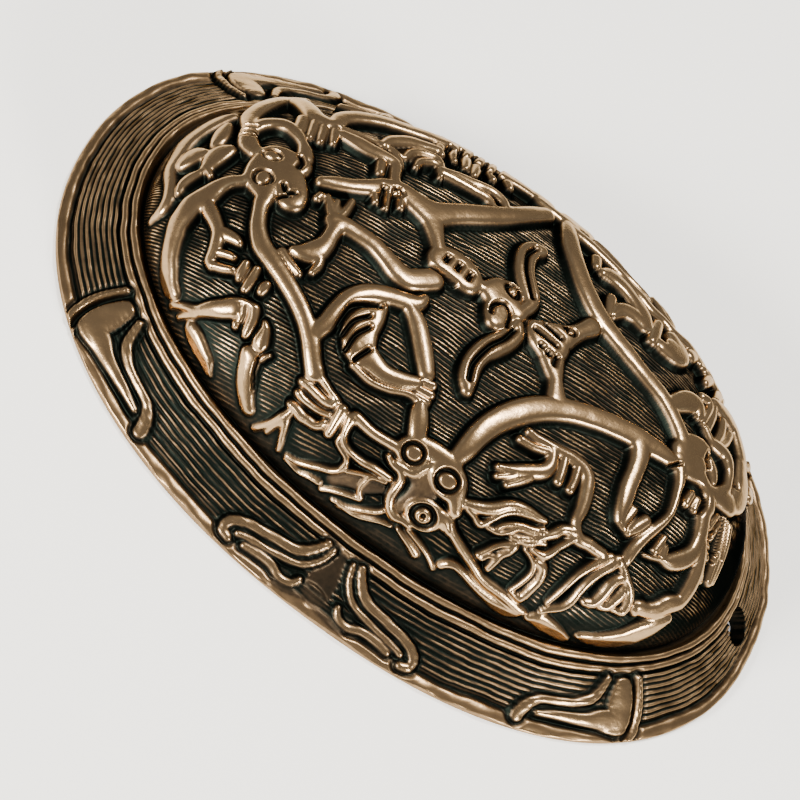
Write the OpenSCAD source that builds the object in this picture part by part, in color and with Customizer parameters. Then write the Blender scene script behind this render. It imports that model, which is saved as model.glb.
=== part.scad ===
// Oval domed brooch: a hollow casting with raised interlaced beasts on the dome and a ridged,
// sloping rim with six masks, and a plain pin with two lugs across the hollow behind it.
// The rim rests on z = 0. X runs along the brooch, Y across it.

/* [Rim] */
// Length of the brooch over the rim
rim_l = 110; // [104:1:116]
// Width of the brooch over the rim
rim_w = 83.6; // [80:0.4:88]
// Height of the ridge at the foot of the dome
ridge_z = 6.2; // [5.8:0.1:6.8]
// How far the sloping rim runs in from the lip at the long ends
slope_l = 7.5; // [7:0.1:8]
// How far the sloping rim runs in from the lip at the sides
slope_w = 9.6; // [9.2:0.1:10]

/* [Dome] */
// Height of the dome, relief included, above the ridge
dome_h = 17.1; // [16:0.1:18.5]
// Depth of the relief above its sunk ground
relief = 1.7; // [1.4:0.1:2]
// Thickness of the cast wall
wall = 1.6; // [1.4:0.1:1.8]

/* [Hole] */
// Diameter of the hole at the right end
hole_d = 5.2; // [4.6:0.2:5.4]
// How far down the slope from the ridge the hole is centred
hole_down = 3.9; // [3.6:0.1:4.2]
// How far the hole lies off the long axis, to the near side
hole_off = 2; // [0:0.5:3]

/* [Pin] */
// Diameter of the pin wire
pin_d = 1.8; // [1.4:0.1:2.2]
// Height of the pin's axis above the surface under the rim
pin_z = 3.4; // [3:0.1:4]
// Distance of each lug's middle from the centre
lug_x = 38.5; // [37:0.5:39]
// Width of a lug along X, at its foot
lug_l = 4; // [3:0.5:4.5]
// Thickness of a lug
lug_t = 3; // [2.4:0.2:3.6]
// Gap between a lug and the casting
seat = 0.3; // [0.25:0.05:0.4]

/* [Hidden] */

// Ovals are superellipses: a larger exponent squares the corners
RIM_N = 2.18;
FOOT_N = 2.11;
// Arch of the dome from foot to top
DOME_P = 3.17;
DOME_Q = 2;
// Moat between the ridge and the foot of the relief
moat = 0.5;
// How far the foot of the ground and the foot of the hollow reach below the ridge
moat_sink = 0.6;
hollow_sink = 2;
COLS = 40;

ridge_l = rim_l / 2 - slope_l;
ridge_w = rim_w / 2 - slope_w;
// Half length and half width of the dome at its foot: over the relief, the ground, the hollow
top_l = ridge_l - moat;
top_w = ridge_w - moat;
ground_l = top_l - relief;
ground_w = top_w - relief;
hollow_l = ground_l - wall;
hollow_w = ground_w - wall;
ground_h = dome_h - relief;
hollow_h = ground_h - wall;
// The charts below are drawn for a brooch of this length and width
CHART_L = 110;
CHART_W = 83.6;
chart = [rim_l / CHART_L, rim_w / CHART_W];

// Rim section from the lip in to the foot of the dome: part of the slope, height above it
RIM_ROWS = [
    [0, 0], [0, 0.8], [0.11, 0.7], [0.18, -0.2], [0.28, 0.2], [0.72, 0.2], [0.79, -0.2], [0.86, 0.3],
    [0.93, -0.1], [1, 0.3], [1.09, -0.75],
];
// Shares of the dome's half length at which its rings lie
DOME_ROWS = [1, 0.985, 0.93, 0.82, 0.64, 0.38];
// Rings of the rim's underside: part of the slope, height. All rings together are an even number
UNDER_ROWS = [[1.15, 3.6], [0.7, 1.5], [0.3, 0]];

// Broad bands of the relief: rows of [x, y, half width]
BANDS = [
    // Left mask: eyes and brow, snout, chin
    [[-37.2, -3.3, 1.5], [-36.7, -1.2, 2.2], [-36.3, 1.0, 2.1], [-34.8, 1.3, 1.9], [-33.2, 1.3, 1.6]],
    [[-36, -1, 2.2], [-33.8, -1.5, 2.2], [-32.4, -3.3, 2.0], [-32, -4.4, 1.8]],
    [[-36.2, -3.3, 2.2], [-35.2, -5.0, 1.4], [-34.8, -6.2, 1.0]],
    // Bow that rings the left end, from the left mask to the claws at the rim
    [[-38.3, -4.6, 0.8], [-40.2, -6.4, 1.1], [-41.3, -8.8, 1.5], [-41.8, -12.3, 1.4], [-40.8, -15, 1.3],
     [-39.4, -17.5, 1.35], [-37.2, -19.8, 0.9]],
    [[-30.8, -20.9, 1.2], [-32.9, -21.4, 0.95], [-34.4, -21.6, 0.5]],
    // Forearm off the bow
    [[-40.3, -9.4, 0.85], [-38.2, -11.7, 0.8], [-36.8, -14.2, 0.75], [-36.2, -16.6, 0.5]],
    // Long body from the left mask to the near mask
    [[-34.9, -6.8, 0.92], [-33.6, -10.6, 0.97], [-32.2, -12.5, 1.12], [-27.6, -15.5, 1.07],
     [-22.8, -18.9, 1.02],
     [-18.2, -23.8, 1.02]],
    // Arm between the left mask and the middle, with its paw
    [[-25.5, -4.6, 1.12], [-25.5, -6.5, 0.92], [-25.6, -8.5, 1.12], [-26.3, -10.2, 1.42],
     [-27.4, -11.1, 1.02],
     [-28.5, -11.4, 0.52]],
    [[-26, -4.2, 1.2], [-23.5, -4, 1.15], [-20.5, -4.2, 1.15], [-18, -5, 1.25], [-16, -5.8, 1.4],
     [-14.3, -5.7, 1.45], [-12.9, -4.6, 1.45], [-11.6, -3.3, 1.4]],
    [[-29.9, 0.6, 0.65], [-28.2, 1.6, 0.95], [-26.2, 2.7, 1], [-24.2, 4.2, 1.1], [-22.4, 5.8, 1.25],
     [-20.5, 6.6, 1.35], [-18, 6.3, 1.65], [-16, 6.2, 2.05]],
    // Body that runs up to the far mask
    [[-1.6, 21.8, 1.05], [-5.6, 16.4, 1.2], [-7.8, 13.9, 1.3], [-12.2, 9.7, 1.45], [-14, 7.9, 1.55],
     [-15.4, 6.2, 1.85], [-15, 5, 1.45], [-12.8, 1.6, 0.85]],
    // Paw that grips left of the middle mask
    [[-11.6, 0.2, 1.6], [-10.2, 0.5, 2.2], [-8.9, 0.8, 2.4], [-8.1, 0.9, 2]],
    // Middle mask: muzzle, cheeks and neck
    [[-4.3, 1, 1.4], [-3.2, 2.0, 1.9], [-1.9, 2.8, 1.7]],
    [[-4.2, 0.9, 1.3], [-2.8, 0.7, 1.9], [-1.2, 0.8, 1.7], [0.4, 0.8, 0.9]],
    [[-2.4, 0, 1.9], [-2.0, -1.5, 1.9], [-2.1, -2.8, 1.2]],
    // Far ear and near ear of the middle mask
    [[0.2, 0.4, 0.8], [0.8, 2, 0.8], [1.2, 3.6, 0.9], [0.6, 4.8, 1.3], [-0.6, 6.3, 1.4], [-1.7, 8.3, 1.4],
     [-2.1, 10.5, 1.35], [-1.7, 12.2, 1.2], [-0.5, 13.2, 0.7]],
    [[0.9, -0.9, 0.7], [1.1, -2.4, 1.1], [0.4, -4.3, 1.4], [-0.6, -6.3, 1.45], [-1.6, -8.4, 1.3],
     [-2, -10.8, 1.25], [-1.7, -13, 1.2], [-1, -14.8, 0.7]],
    // Small face right of the middle mask and its two arms
    [[2.6, 0.8, 0.6], [4.0, 0.3, 1.8], [5.3, 0.2, 2.6], [6.2, 0.2, 2.2]],
    [[6.6, 2, 1.9], [7.8, 3.6, 1.2], [8.8, 5.4, 1], [9.8, 7.2, 1.2]],
    [[6.6, -1.6, 1.85], [7.6, -3.2, 1.35], [8.6, -4.8, 0.95], [9.6, -6.8, 1.25]],
    // Body from the far mask to the right mask
    [[1.8, 22.8, 1.05], [3.2, 18, 1.35], [6.4, 13.2, 1.4], [8.4, 11.2, 1.45], [10.6, 9.6, 1.45],
     [16, 7.6, 1.25],
     [22, 5.9, 1.2], [24.5, 4.7, 1.15], [28.5, 1.8, 1.35]],
    // Arch from the near mask to the right mask
    [[2.5, -23, 0.9], [3.2, -19, 1.35], [5.3, -14, 1.55], [7, -11.6, 1.6], [9.2, -9.3, 1.6],
     [11.8, -7.4, 1.5], [17.6, -4.6, 1.5], [23.5, -2.8, 1.4], [28, -1.9, 0.8]],
    // Right mask: brow, cheeks, jaw
    [[28.3, 0.6, 1.5], [29.3, 2.2, 2.0], [30.4, 3.4, 1.7], [31.3, 4.1, 1.1]],
    [[28.6, -0.6, 1.3], [30, 0.3, 2.0], [31, 0.8, 1.8]],
    [[30.2, -0.7, 1.5], [31.8, -0.2, 1.3], [33.4, -0.4, 1.0], [34.8, -1, 1.1], [35.4, -2.2, 1.15],
     [35.4, -3.6, 1.0]],
    [[34.6, -0.4, 0.9], [36, 0.2, 1.1], [37.4, 1, 1.4], [38.5, 1.6, 1.45]],
    [[28.9, -1.4, 0.9], [29.9, -3.4, 0.7], [30.5, -6, 0.5], [30.8, -8.4, 0.4], [30.5, -10.2, 0.5],
     [29.3, -13.9, 0.65], [28.8, -15.8, 0.75], [28.8, -17.8, 0.5]],
    [[35.3, -4, 1.1], [36.4, -6.6, 1.1], [36.6, -9.2, 1.1], [35.6, -11.6, 1.15], [34.4, -12.9, 0.95],
     [33.2, -13.8, 0.5], [31.6, -14.9, 0.25]],
    // Arm with fingers below the right mask
    [[22.8, -3.6, 1.3], [23.5, -8, 1.05], [24.2, -12, 1.05], [25, -15, 0.45]],
    [[28.2, -12.2, 0.7], [27.5, -13.8, 0.75], [26.9, -15.3, 0.4]],
    // Bow that rings the right end
    [[37.2, -7.4, 0.9], [38.7, -9.8, 0.95], [39.2, -12.4, 1.05], [38.6, -14.9, 1.05], [36.4, -17.7, 1.1],
     [35, -18.9, 0.9], [33.2, -19.8, 0.7]],
    // Bundle of long feathers at the right end
    [[39.1, -1.3, 1.1], [40, -3.8, 1.3], [40.7, -6.2, 1.2], [41.3, -9.2, 0.6]],
    // Ring of limbs beyond the right mask
    [[32.4, 6.8, 0.6], [34.9, 7.4, 1.0], [36.1, 6.4, 1.0], [36.8, 4.3, 0.7], [36.9, 2.6, 0.8],
     [36.1, 0.6, 1.0]],
    [[38.4, 9.6, 1.5], [39.4, 6.6, 1.8], [39.5, 4, 1.8], [38.8, 1.8, 0.9]],
    [[30.8, 13.8, 1.0], [33, 14.8, 1.5], [35.4, 15.2, 1.8], [37.2, 13, 1.7], [38.2, 10.5, 1.3]],
    [[24.1, 5.5, 1.0], [25.1, 7.2, 1.25], [26.4, 8.9, 1.45], [27.8, 9.6, 1.3], [28.5, 7.9, 0.4]],
    [[28.2, 12.2, 0.55], [29.3, 12.7, 0.6], [29.9, 11.6, 0.55], [29.6, 7.7, 0.35]],
    // Second beast: long arm from the near side to the right paw
    [[10.4, -13.9, 0.5], [13, -13.5, 0.7], [15, -13, 0.75], [17, -12.9, 0.8], [18.4, -13.7, 0.85],
     [19.2, -15.4, 0.85], [19.7, -17.4, 0.8], [20, -19.2, 0.7], [21.4, -20.5, 0.7], [24.3, -20.1, 0.7],
     [26, -19.4, 0.4]],
    [[12.6, -14.2, 0.7], [13.2, -15.8, 0.75], [12.8, -17.2, 0.9], [11.4, -18.4, 0.9], [10, -19.4, 0.8],
     [8.4, -20.2, 0.4], [7.5, -20.6, 0.3]],
    // Hip loop between the long body and the near mask
    [[-21, -19.9, 1], [-20.4, -18, 1], [-20.1, -15.6, 1.05], [-19.5, -13.4, 1.1], [-18, -11.4, 1.15],
     [-15.8, -10, 1.15], [-13.2, -9, 1.1], [-11.8, -8.1, 0.9], [-11.3, -6.9, 0.5]],
    [[-12.6, -9.4, 0.8], [-10.9, -10.6, 1.1], [-9.2, -12.6, 1.15], [-7.6, -14.7, 1.15], [-6.5, -16.3, 1.0]],
    [[-5, -20.4, 0.7], [-4.6, -21.2, 1.0], [-3.8, -22.6, 1.1], [-3.1, -24, 0.9]],
    [[-15.3, -12, 0.5], [-15.9, -14, 1.5], [-16.3, -16.4, 2.1], [-15.2, -18.6, 2.0], [-13.2, -19.2, 1.4],
     [-11, -19.6, 1.1], [-9, -19.2, 1.0], [-7, -18.3, 0.8]],
    // Left collar and the bow that rings the far left
    [[-38.9, 1.2, 0.95], [-39.9, 2.3, 1.25], [-40.5, 3.9, 1.05], [-40.7, 5.6, 0.95], [-41.2, 8, 1.15],
     [-40.8, 10.5, 1.2], [-40, 13, 1.25], [-39, 15.5, 1.25], [-37.6, 18, 1.15], [-35.6, 20, 0.95]],
    [[-40.3, 5, 0.8], [-39.7, 6.6, 1], [-38.4, 7.9, 1], [-36.8, 8.1, 0.9], [-35.4, 7.3, 0.8],
     [-34.2, 5.8, 0.6], [-33.4, 4.4, 0.9], [-33, 3, 1]],
    [[-36.6, 17, 1.1], [-35.4, 14.6, 1.2], [-34.2, 12.6, 1.3], [-32.6, 12, 1.1]],
    // Far body from the left mask to the far collar
    [[-31.6, 12.6, 1], [-31.1, 15, 1.2], [-29.2, 17.4, 1.35], [-26.4, 19.4, 1.4], [-23.2, 20.9, 1.4],
     [-20, 22.2, 1.4], [-17.6, 23.4, 1.5]],
    // Far leg and hip
    [[-30.2, 11, 0.8], [-27.5, 10.8, 1.1], [-24.8, 10.8, 1], [-22.8, 10.7, 0.8], [-22.1, 8.6, 0.65],
     [-21.7, 7.2, 0.7]],
    [[-25.2, 13, 0.6], [-24.2, 15.2, 0.9], [-22, 17.4, 1], [-19.8, 18.7, 0.9], [-18.2, 19.4, 0.7]],
    [[-17, 14.9, 0.6], [-14.6, 16, 0.7], [-9.8, 17.6, 0.65], [-8, 17.2, 0.6], [-7.2, 16.2, 0.4]],
    [[-16.8, 14.5, 0.6], [-14.4, 15, 0.6], [-12, 15.4, 0.6], [-10, 15.5, 0.6], [-8.9, 14.7, 0.4]],
    // Far paws right of the far mask
    [[2.4, 22.8, 1.0], [5, 22.8, 1.0], [8.4, 22.2, 0.9], [11.2, 21.4, 0.8], [13, 20.4, 0.9], [15, 20.2, 1.0],
     [17, 19.6, 1.0], [18.8, 19.8, 0.8], [21, 19.4, 0.9], [23.2, 20, 0.9], [25.4, 20.2, 1.2]],
    [[8.4, 18, 0.7], [10, 19, 1.4], [12, 18.8, 1.4], [14, 17.8, 1.3], [15.6, 16.6, 1.5], [16.3, 15.2, 1.4]],
    [[11.8, 11.8, 0.5], [12.6, 13.8, 1.05], [14.2, 14.8, 1.25], [16, 14.9, 1.35]],
    [[18.5, 17.6, 0.7], [18.4, 15.4, 0.8], [18.2, 13.2, 0.7]],
    [[20, 13.8, 1.15], [21.6, 14.8, 1.95], [22.6, 16.2, 1.95], [21.4, 17.4, 1.35]],
];

// Bands along the foot of the dome, also used mirrored on the far side
EDGE_BANDS = [
    // Near mask: lip, nose, chin and eye sockets
    [[-2.8, -24.2, 0.9], [-0.6, -23.9, 1.1], [2.4, -24, 1.3]],
    [[-2.7, -25.4, 1.6], [-1.2, -26.2, 1.7], [1.2, -26.9, 2.0], [1.4, -28.6, 1.6], [0.2, -30, 0.8]],
    [[1.8, -25.2, 1.6], [3.3, -25.5, 2.2], [5.2, -26.4, 1.1], [6.3, -27.4, 0.7]],
    [[2.4, -29.2, 1.5], [3.8, -29.3, 1.6], [5.6, -28.6, 0.9], [7.2, -29, 0.4]],
    // Lip band to the second beast's wing
    [[6.2, -26.2, 0.6], [9.8, -24.9, 0.8], [13.6, -22.1, 0.85], [17.8, -22.3, 0.6]],
    // Collar ribs left of the near mask
    [[-18, -23.6, 0.85], [-16.3, -24.3, 0.4], [-13.8, -25.2, 0.25]],
    [[-18.5, -25.1, 0.4], [-16.2, -25.6, 0.45], [-14.2, -25.6, 0.4]],
    [[-18.1, -26.2, 0.4], [-16, -26.7, 0.3], [-13.8, -26.7, 0.25]],
    [[-18.1, -27.3, 0.5], [-16.3, -27.8, 0.6], [-13.8, -27.8, 0.4]],
    // Leaf, leg and claw at the left foot
    [[-33.1, -22.9, 0.85], [-31.1, -24.2, 1.15], [-29.2, -25.3, 0.9], [-27.9, -26, 0.25]],
    [[-26, -24.5, 0.9], [-24.8, -26, 1.1], [-23.2, -27.4, 1.05], [-21.8, -28.2, 0.85]],
    [[-26.2, -21.6, 0.4], [-25.8, -22.7, 0.8], [-25.4, -23.6, 0.6]],
    // Leg from the near mask along the foot, its spur, and the curved claw above it
    [[7, -28.5, 0.45], [9.4, -29.5, 0.6], [12.4, -29.7, 0.8], [15.6, -29.7, 1], [19.2, -28.9, 1.3],
     [21, -28.4, 0.9]],
    [[22.9, -27.9, 0.6], [25.4, -27, 1.15], [28.1, -26, 0.7]],
    [[19.7, -25.4, 0.5], [20.6, -26.6, 0.55], [20.2, -28, 0.5]],
    // Fan of claws and crescent at the right foot
    [[27.5, -19.3, 0.9], [26.6, -21.9, 1], [25.3, -25, 0.8], [24, -26.9, 0.3]],
    [[29, -19.3, 0.9], [28.9, -21.4, 0.6], [27.9, -23.6, 0.4]],
    [[31, -19.7, 0.8], [32.4, -20.6, 0.7], [31.4, -21.8, 0.4]],
    [[30.6, -24.6, 0.6], [34.2, -22.4, 1.7], [36.8, -19.8, 1.9], [38.2, -17.8, 0.8]],
];

// Masks on the rim: rows of [degrees along the rim, part of the slope, half width].
// Angles run from each mask's own line: the tall end for an end mask, the middle for a side mask.
END_MASK = [
    // Border, head with its long tongue, hooked band
    [[0.3, 0.76, 0.45], [0, 0.42, 0.5], [2.4, 0.15, 0.4]],
    [[3.6, 0.68, 1.1], [3.6, 0.45, 1.5], [6, 0.33, 1.0], [12, 0.3, 0.6], [20, 0.28, 0.25]],
    [[7.2, 0.78, 0.4], [9, 0.58, 0.5], [15, 0.46, 0.5], [21.5, 0.39, 0.5], [23.3, 0.2, 0.45]],
];
SIDE_MASK = [
    // Hooked band, leaf inside it, stem
    [[2.6, 0.78, 0.45], [5, 0.58, 0.5], [11, 0.45, 0.5], [14.4, 0.24, 0.45]],
    [[2.6, 0.34, 0.5], [7, 0.3, 0.6], [12, 0.24, 0.3]],
    [[1.4, 0.77, 0.3], [2.2, 0.54, 0.35], [6.5, 0.38, 0.3]],
];
MASK_FOOT = [[-2.2, 0.22, 0.9], [2.2, 0.22, 0.9]];
END_MASK_AT = [-146, -36, 36, 146];
SIDE_MASK_AT = [-91.2, 91.2];
// Height of the masks above the slope
mask_h = 0.85;
// How deep the raised forms are set into the dome, and into the thinner rim
ROOT = 0.78;
RIM_ROOT = 0.46;
// Bands that cross lie at one of these levels, this far apart, so that one passes over the other
TIERS = 3;
TIER = 0.1;
// A band's tip: how far it reaches, as a part of the half width, and how far it dips, of the height
TIP_REACH = 0.92;
TIP_DROP = 0.35;

function power(v, e) = sign(v) * pow(abs(v) + 1e-9, e);
function oval(a, b, n, t) = [a * power(cos(t), 2 / n), b * power(sin(t), 2 / n)];
function unit(v) = v / norm(v);
// Angles of the points of ring i: every second ring is turned by half a step
function ring_angles(i) = [for (k = [0 : COLS - 1]) (k + (i % 2) / 2) * 360 / COLS];

// Point of the sloping rim: angle, part of the slope, height above it
function rim_point(t, part, rise) =
    let (
        lip = oval(rim_l / 2, rim_w / 2, RIM_N, t),
        ridge = oval(ridge_l, ridge_w, FOOT_N, t),
        at = lip + (ridge - lip) * part
    )
    [at.x, at.y, ridge_z * part + rise];

// Height of a dome of half sizes a, b and height h over the ridge, and its share at x, y
function share(x, y, a, b) =
    min(0.997, pow(pow(abs(x) / a, FOOT_N) + pow(abs(y) / b, FOOT_N), 1 / FOOT_N));
function dome_z(h, r) = ridge_z + h * pow(1 - pow(r, DOME_P), 1 / DOME_Q);
function top_normal(x, y) =
    let (
        r = max(0.02, share(x, y, top_l, top_w)),
        lift = pow(1 - pow(r, DOME_P), 1 / DOME_Q),
        steep = DOME_P * pow(r, DOME_P - FOOT_N)
    )
    unit([
        steep * power(x / top_l, FOOT_N - 1) / top_l,
        steep * power(y / top_w, FOOT_N - 1) / top_w,
        DOME_Q * pow(lift, DOME_Q - 1) / dome_h
    ]);

// Section of a raised band: part of its half width, part of its height
SECTION = [[-1.05, 0], [-0.8, 1], [0.8, 1], [1.05, 0]];

// Sweep of SECTION along points, each with its normal and half width, set in by root; the ends are points
module band(points, normals, widths, height, root) {
    last = len(points) - 1;
    sides = len(SECTION);
    along = [for (i = [0 : last]) unit(points[min(i + 1, last)] - points[max(i - 1, 0)])];
    corners = [for (i = [0 : last], p = SECTION)
        let (
            across = unit(cross(normals[i], along[i])),
            down = (1 - p[1]) * height + (p[1] == 0 ? root : 0)
        )
        points[i] + across * (p[0] * widths[i]) - normals[i] * down];
    function tip(i, way) =
        points[i] + along[i] * (way * widths[i] * TIP_REACH) - normals[i] * (height * TIP_DROP);
    start = len(corners);
    end = start + 1;
    walls = [for (i = [0 : last - 1], j = [0 : sides - 1])
        let (k = (j + 1) % sides, a = i * sides, b = (i + 1) * sides)
        each [[a + j, a + k, b + j], [a + k, b + k, b + j]]];
    ends = [for (j = [0 : sides - 1])
        let (k = (j + 1) % sides)
        each [[start, k, j], [end, last * sides + j, last * sides + k]]];
    polyhedron(concat(corners, [tip(0, -1), tip(last, 1)]), concat(walls, ends), convexity = 4);
}

// One charted band on the dome, its crown on the dome's outer form or lower by the given drop
module dome_band(rows, drop) {
    spots = [for (r = rows) [r.x * chart.x, r.y * chart.y]];
    band(
        [for (s = spots) [s.x, s.y, dome_z(dome_h, share(s.x, s.y, top_l, top_w)) - drop]],
        [for (s = spots) top_normal(s.x, s.y)],
        [for (r = rows) r.z],
        relief,
        ROOT
    );
}

// One charted band on the rim, from the mask's line at degrees along, turned by side = 1 or -1
module rim_band(rows, line, side, drop) {
    lean = atan(ridge_z / ((slope_l + slope_w) / 2));
    angles = [for (r = rows) line + side * r[0]];
    band(
        [for (i = [0 : len(rows) - 1]) rim_point(angles[i], rows[i][1], mask_h - drop)],
        [for (t = angles)
            let (out = unit(oval(rim_w, rim_l, RIM_N, t)))
            [out.x * sin(lean), out.y * sin(lean), cos(lean)]],
        [for (r = rows) r.z],
        mask_h,
        RIM_ROOT
    );
}

// The casting without relief, as rings of points: over the rim and the dome, then back through the hollow
module cast_wall() {
    over = len(RIM_ROWS) + len(DOME_ROWS);
    dome_back = [for (i = [len(DOME_ROWS) - 1 : -1 : 0]) DOME_ROWS[i]];
    function ground_point(t, r) =
        let (p = oval(ground_l * r, ground_w * r, FOOT_N, t))
        [p.x, p.y, dome_z(ground_h, r) - (r == 1 ? moat_sink : 0)];
    function hollow_point(t, r) =
        let (p = oval(hollow_l * r, hollow_w * r, FOOT_N, t))
        [p.x, p.y, dome_z(hollow_h, r) - (r == 1 ? hollow_sink : 0)];
    function under_point(t, r) =
        let (p = rim_point(t, r[0], 0))
        [p.x, p.y, r[1]];
    rings = concat(
        [for (i = [0 : len(RIM_ROWS) - 1])
            [for (t = ring_angles(i)) rim_point(t, RIM_ROWS[i][0], RIM_ROWS[i][1])]],
        [for (i = [0 : len(DOME_ROWS) - 1])
            [for (t = ring_angles(len(RIM_ROWS) + i)) ground_point(t, DOME_ROWS[i])]],
        [for (i = [0 : len(DOME_ROWS) - 1]) [for (t = ring_angles(over + i)) hollow_point(t, dome_back[i])]],
        [for (i = [0 : len(UNDER_ROWS) - 1])
            [for (t = ring_angles(over + len(DOME_ROWS) + i)) under_point(t, UNDER_ROWS[i])]]
    );
    count = len(rings);
    top = count * COLS;
    roof = top + 1;
    function strip(i) = [for (k = [0 : COLS - 1])
        let (n = (k + 1) % COLS, a = i * COLS, b = ((i + 1) % count) * COLS)
        each (i % 2 == 0
            ? [[a + k, b + k, a + n], [a + n, b + k, b + n]]
            : [[a + k, b + k, b + n], [a + k, b + n, a + n]])];
    crown = (over - 1) * COLS;
    faces = concat(
        [for (i = [0 : count - 1]) if (i != over - 1) each strip(i)],
        [for (k = [0 : COLS - 1]) [crown + k, top, crown + (k + 1) % COLS]],
        [for (k = [0 : COLS - 1]) [roof, crown + COLS + k, crown + COLS + (k + 1) % COLS]]
    );
    points = concat([for (ring = rings) each ring], [[0, 0, ridge_z + ground_h], [0, 0, ridge_z + hollow_h]]);
    polyhedron(points, faces, convexity = 6);
}

module masks() {
    ends = [for (line = END_MASK_AT, rows = END_MASK)
        [rows, line, abs(line) > 90 ? -sign(line) : sign(line)]];
    sides = [for (line = SIDE_MASK_AT, rows = SIDE_MASK, side = [-1, 1]) [rows, line, side]];
    feet = [for (line = SIDE_MASK_AT) [MASK_FOOT, line, 1]];
    all = concat(ends, sides, feet);
    for (i = [0 : len(all) - 1])
        rim_band(all[i][0], all[i][1], all[i][2], (i % TIERS) * TIER);
}

module relief_bands() {
    // The far foot of the dome repeats the near one
    far_bands = [for (rows = EDGE_BANDS) [for (r = rows) [r.x, -r.y, r.z]]];
    all = concat(BANDS, EDGE_BANDS, far_bands);
    for (i = [0 : len(all) - 1])
        dome_band(all[i], (i % TIERS) * TIER);
}

// Hole square to the slope at the right end
module end_hole() {
    lean = atan(ridge_z / slope_l);
    reach = 6;
    translate([ridge_l + hole_down * cos(lean), -hole_off, ridge_z - hole_down * sin(lean)])
        rotate([0, lean, 0])
            translate([0, 0, -reach])
                cylinder(h = 2 * reach, d = hole_d, $fn = 48);
}

module shell() {
    color([0.69, 0.52, 0.39])
        difference() {
            resize([rim_l, 0, 0])
                union() {
                    cast_wall();
                    relief_bands();
                    masks();
                }
            end_hole();
        }
}

// Lug whose top edge follows the hollow
module lug(side) {
    foot = pin_z - pin_d;
    steps = 6;
    edge = [for (k = [0 : steps])
        let (x = lug_x - lug_l / 2 + k * lug_l / steps)
        [side * x, dome_z(hollow_h, share(x, lug_t / 2, hollow_l, hollow_w)) - seat]];
    rotate([90, 0, 0])
        translate([0, 0, -lug_t / 2])
            linear_extrude(lug_t)
                polygon(concat([[side * (lug_x - lug_l / 2), foot], [side * (lug_x + lug_l / 2), foot]],
                    [for (k = [steps : -1 : 0]) edge[k]]));
}

module pin() {
    color([0.75, 0.73, 0.68])
        union() {
            lug(-1);
            lug(1);
            translate([-lug_x, 0, pin_z])
                rotate([0, 90, 0])
                    cylinder(h = 2 * lug_x, d = pin_d, $fn = 32);
        }
}

shell();
pin();
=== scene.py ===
"""Oval domed brooch: a cast shell with raised interlaced beasts on a hatched ground, and a ridged rim."""
import math

import bpy
import numpy as np
from mathutils import Matrix, Vector


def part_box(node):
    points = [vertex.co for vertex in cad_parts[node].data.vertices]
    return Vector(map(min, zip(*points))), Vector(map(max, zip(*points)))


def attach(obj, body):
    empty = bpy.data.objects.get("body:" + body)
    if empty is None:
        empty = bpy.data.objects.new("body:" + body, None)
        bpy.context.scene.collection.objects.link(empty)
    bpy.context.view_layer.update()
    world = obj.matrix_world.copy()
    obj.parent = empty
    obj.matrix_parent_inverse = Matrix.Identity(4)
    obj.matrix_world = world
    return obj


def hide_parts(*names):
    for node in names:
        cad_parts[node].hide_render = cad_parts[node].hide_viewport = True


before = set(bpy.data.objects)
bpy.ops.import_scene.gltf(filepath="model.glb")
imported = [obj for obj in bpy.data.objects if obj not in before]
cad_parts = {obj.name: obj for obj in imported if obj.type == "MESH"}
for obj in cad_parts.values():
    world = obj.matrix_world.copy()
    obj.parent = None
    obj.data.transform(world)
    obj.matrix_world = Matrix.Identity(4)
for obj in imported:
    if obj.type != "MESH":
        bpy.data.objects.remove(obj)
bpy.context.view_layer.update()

# Every length below is in millimetres; metres come in only where a Blender object is made
MM = 0.001
shell_low, shell_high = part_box("shell")
RIM_A = (shell_high.x - shell_low.x) / 2 / MM
RIM_B = (shell_high.y - shell_low.y) / 2 / MM

# The form, as in the solid: ovals are superellipses, the dome is the outer form of the relief's crowns
RIM_POWER = 2.18
FOOT_POWER = 2.11
RIDGE_Z = 6.2
SLOPE_A, SLOPE_B = 7.5, 9.6
RIDGE_A, RIDGE_B = RIM_A - SLOPE_A, RIM_B - SLOPE_B
MOAT = 0.5
DOME_A, DOME_B = RIDGE_A - MOAT, RIDGE_B - MOAT
DOME_HEIGHT = 17.1
DOME_POWER = 3.17
RELIEF = 1.7
WALL = 1.6
HOLLOW_A = DOME_A - RELIEF - WALL
HOLLOW_B = DOME_B - RELIEF - WALL
HOLLOW_HEIGHT = DOME_HEIGHT - RELIEF - WALL
LIP = 0.42

# The hole through the rim at the right end: down the slope from its inner ridge, off the middle, radius
HOLE_DOWN = 3.9
HOLE_OFF = 2
HOLE_RADIUS = 2.6
# The block of cells that is left open for it, and how far round the block the grid gives way, in parts
BLOCK_PART = 0.88
SPREAD = 1.75
# Columns before and after it that may give way, above and underneath; rounds to fit the slope's grid
WINDOW_ABOVE = [40, 24]
WINDOW_BELOW = [22, 12]
FIT_ROUNDS = 6

# Section of a raised form across its edge: distance from the edge (inside negative) to part of its height
EDGE_STEPS = [-1.5, -1.0, -0.65, -0.4, -0.2, -0.05, 0.08, 0.2, 0.33, 0.46, 0.6, 0.8]
EDGE_RISE = [1.0, 0.985, 0.955, 0.915, 0.86, 0.80, 0.71, 0.59, 0.40, 0.21, 0.07, 0.0]
# Heights of thin and low forms, as parts of the full one
THIN_HEIGHT = 0.93
LOW_HEIGHT = 0.62
GROOVE_DEPTH = 0.95
GROOVE_REACH = 1.2
EYE_REACH = 2.4
HATCH_SPACING = 0.68
HATCH_HEIGHT = 0.2

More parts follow.
